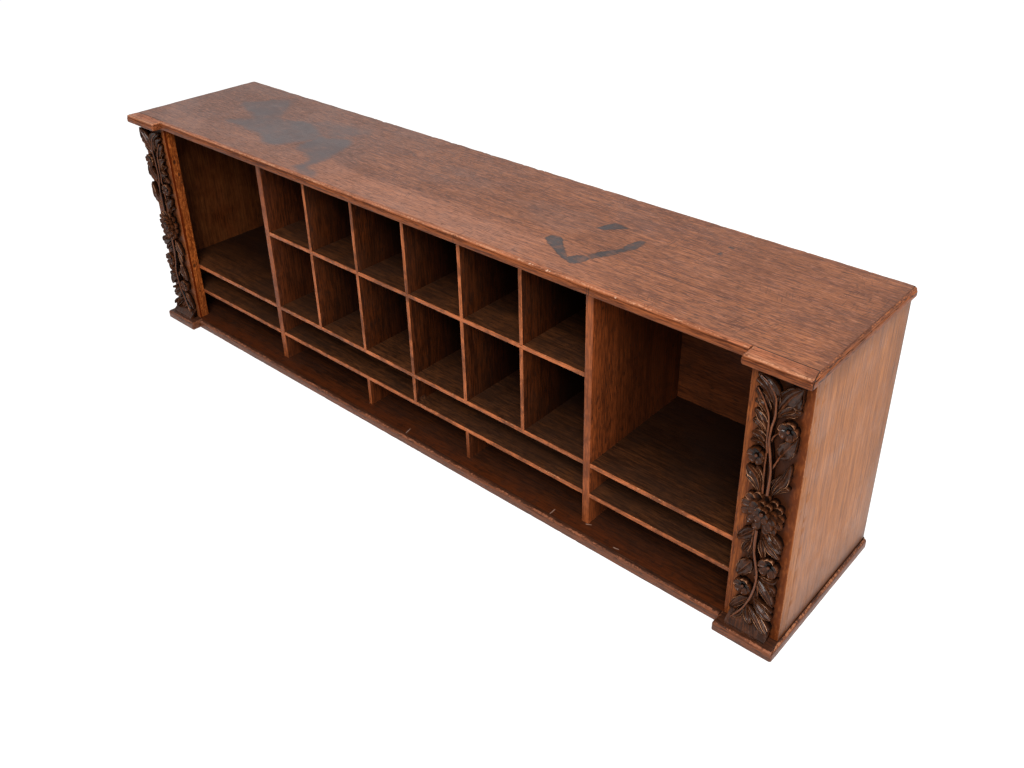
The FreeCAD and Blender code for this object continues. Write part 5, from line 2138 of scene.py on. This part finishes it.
# its side facing the middle pigeonholes is darkened as painted shade
DIVIDER_OAK = FacedOak("divider_oak_dark", light=(0.37, 0.085, 0.020), dark=(0.11, 0.025, 0.007),
                       dull=(0.12, 0.033, 0.010), grain=Grain.Z, fronted=1.0, grime_and_shade_share=0.68, wear=-0.45,
                       shine=0.2, front=(0.50, 0.130, 0.036), start=0.3386, end=0.3383,
                       shade=(0.044, 0.0105, 0.003), strength=0.75)
PARTITION_OAK = Oak("partition_oak_dark", light=(0.125, 0.029, 0.007), dark=(0.024, 0.006, 0.002),
                    dull=(0.060, 0.020, 0.008), grain=Grain.Z, fronted=1.0, grime_and_shade_share=0.94, wear=-0.45,
                    front=(0.70, 0.200, 0.067), shine=0.14)
SHELF_OAK = Oak("shelf_oak_dark", light=(0.140, 0.047, 0.016), dark=(0.029, 0.011, 0.005),
                dull=(0.040, 0.017, 0.009), dullness=0.6, fronted=1.0, grime_and_shade_share=0.85, wear=-0.35,
                front=(0.72, 0.208, 0.071), shine=0.2)
PILASTER_OAK = PilasterOak("pilaster_oak_orange", light=(0.40, 0.112, 0.028), dark=(0.16, 0.038, 0.009),
                           dull=(0.12, 0.030, 0.009), rubbed=(0.66, 0.29, 0.14), grain=Grain.Z, pored=0.5,
                           wear=-0.05, shine=0.1)
STILE_OAK = KnottyOak("stile_oak_orange", light=(0.56, 0.140, 0.026), dark=(0.15, 0.029, 0.005),
                      dull=(0.14, 0.032, 0.008), rubbed=(0.58, 0.17, 0.04), grain=Grain.Z, pored=0.5,
                      wear=-0.5, shine=0.12,
                      knots=((-0.1010, 0.330, 0.0036), (-0.0967, 0.305, 0.0025), (-0.0938, 0.2896, 0.002),
                             (-0.1018, 0.123, 0.0032), (-0.1006, 0.069, 0.002)))


@dataclass
class Cabinet:
    """The whole cabinet, sub-assembly by sub-assembly."""

    nodes: dict[str, bpy.types.Object]

    def build(self) -> None:
        """Build the slabs, the case, the shelving, the pilasters and the fixings."""
        Slab("top", TOP_OAK, MOULDED_OAK, STRIP_OAK, ("top_oak", "moulded_oak"), top_section()).build()
        Slab("base", BASE_OAK, BASE_MOULDED_OAK, BASE_STRIP_OAK, ("base_oak", "moulded_oak"),
             base_section(), seed=60).build()
        seed = 100
        shelves = ["middle_shelf"] + [s + r for s in ("left", "centre", "right")
                                      for r in ("_slot_shelf", "_low_shelf")]
        thin = {"arris": 0.7 * MM, "wear": 0.2 * MM, "chip": 0.35 * MM}
        for name in shelves:
            seed += 5
            Board(name, SHELF_OAK, "shelf_oak", seed=seed, shoulder=4 * MM, **thin).build()
        for name in sorted(n for n in self.nodes if "partition" in n or "_divider" in n):
            seed += 5
            oak = PARTITION_OAK if "partition" in name or "letter" in name else DIVIDER_OAK
            Board(name, oak, "divider_oak", seed=seed, **thin).build()
        Board("back_panel", BACK_OAK, "back_oak", 0.3 * MM, 7).build()
        back_low, back_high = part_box("back_panel")
        for side, s in (("left", -1), ("right", 1)):
            seed += 5
            Board(side + "_end_panel", END_OAK, "end_oak", 0.5 * MM, seed,
                  rebate=(back_high.x, back_low.y)).build()
            Board(side + "_pilaster_stile", STILE_OAK, "pilaster_oak", 0.4 * MM, seed + 1).build()
            Board(side + "_pilaster_face", PILASTER_OAK, "pilaster_oak", 0.6 * MM, seed + 2,
                  wear=0.4 * MM).build()
            Drop(side, s).build()
        self.fixings()

    def fixings(self) -> None:
        """Give the carried-over nails, screws and glue blocks their finishes."""
        iron = Iron().build()
        for name, material in (("back_nails", iron), ("base_screws", iron),
                               ("glue_blocks", SHELF_OAK.build())):
            data = self.nodes[name].data
            data.materials.clear()
            data.materials.append(material)
            LOG.info("%s: finished", name)


# ------ main
def main() -> None:
    """Load the frame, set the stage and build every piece."""
    logging.basicConfig(level=logging.INFO, format="%(message)s")
    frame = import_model()
    View().build()
    Studio().build()
    Cabinet(frame["nodes"]).build()
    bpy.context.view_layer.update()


if __name__ == "__main__":
    main()
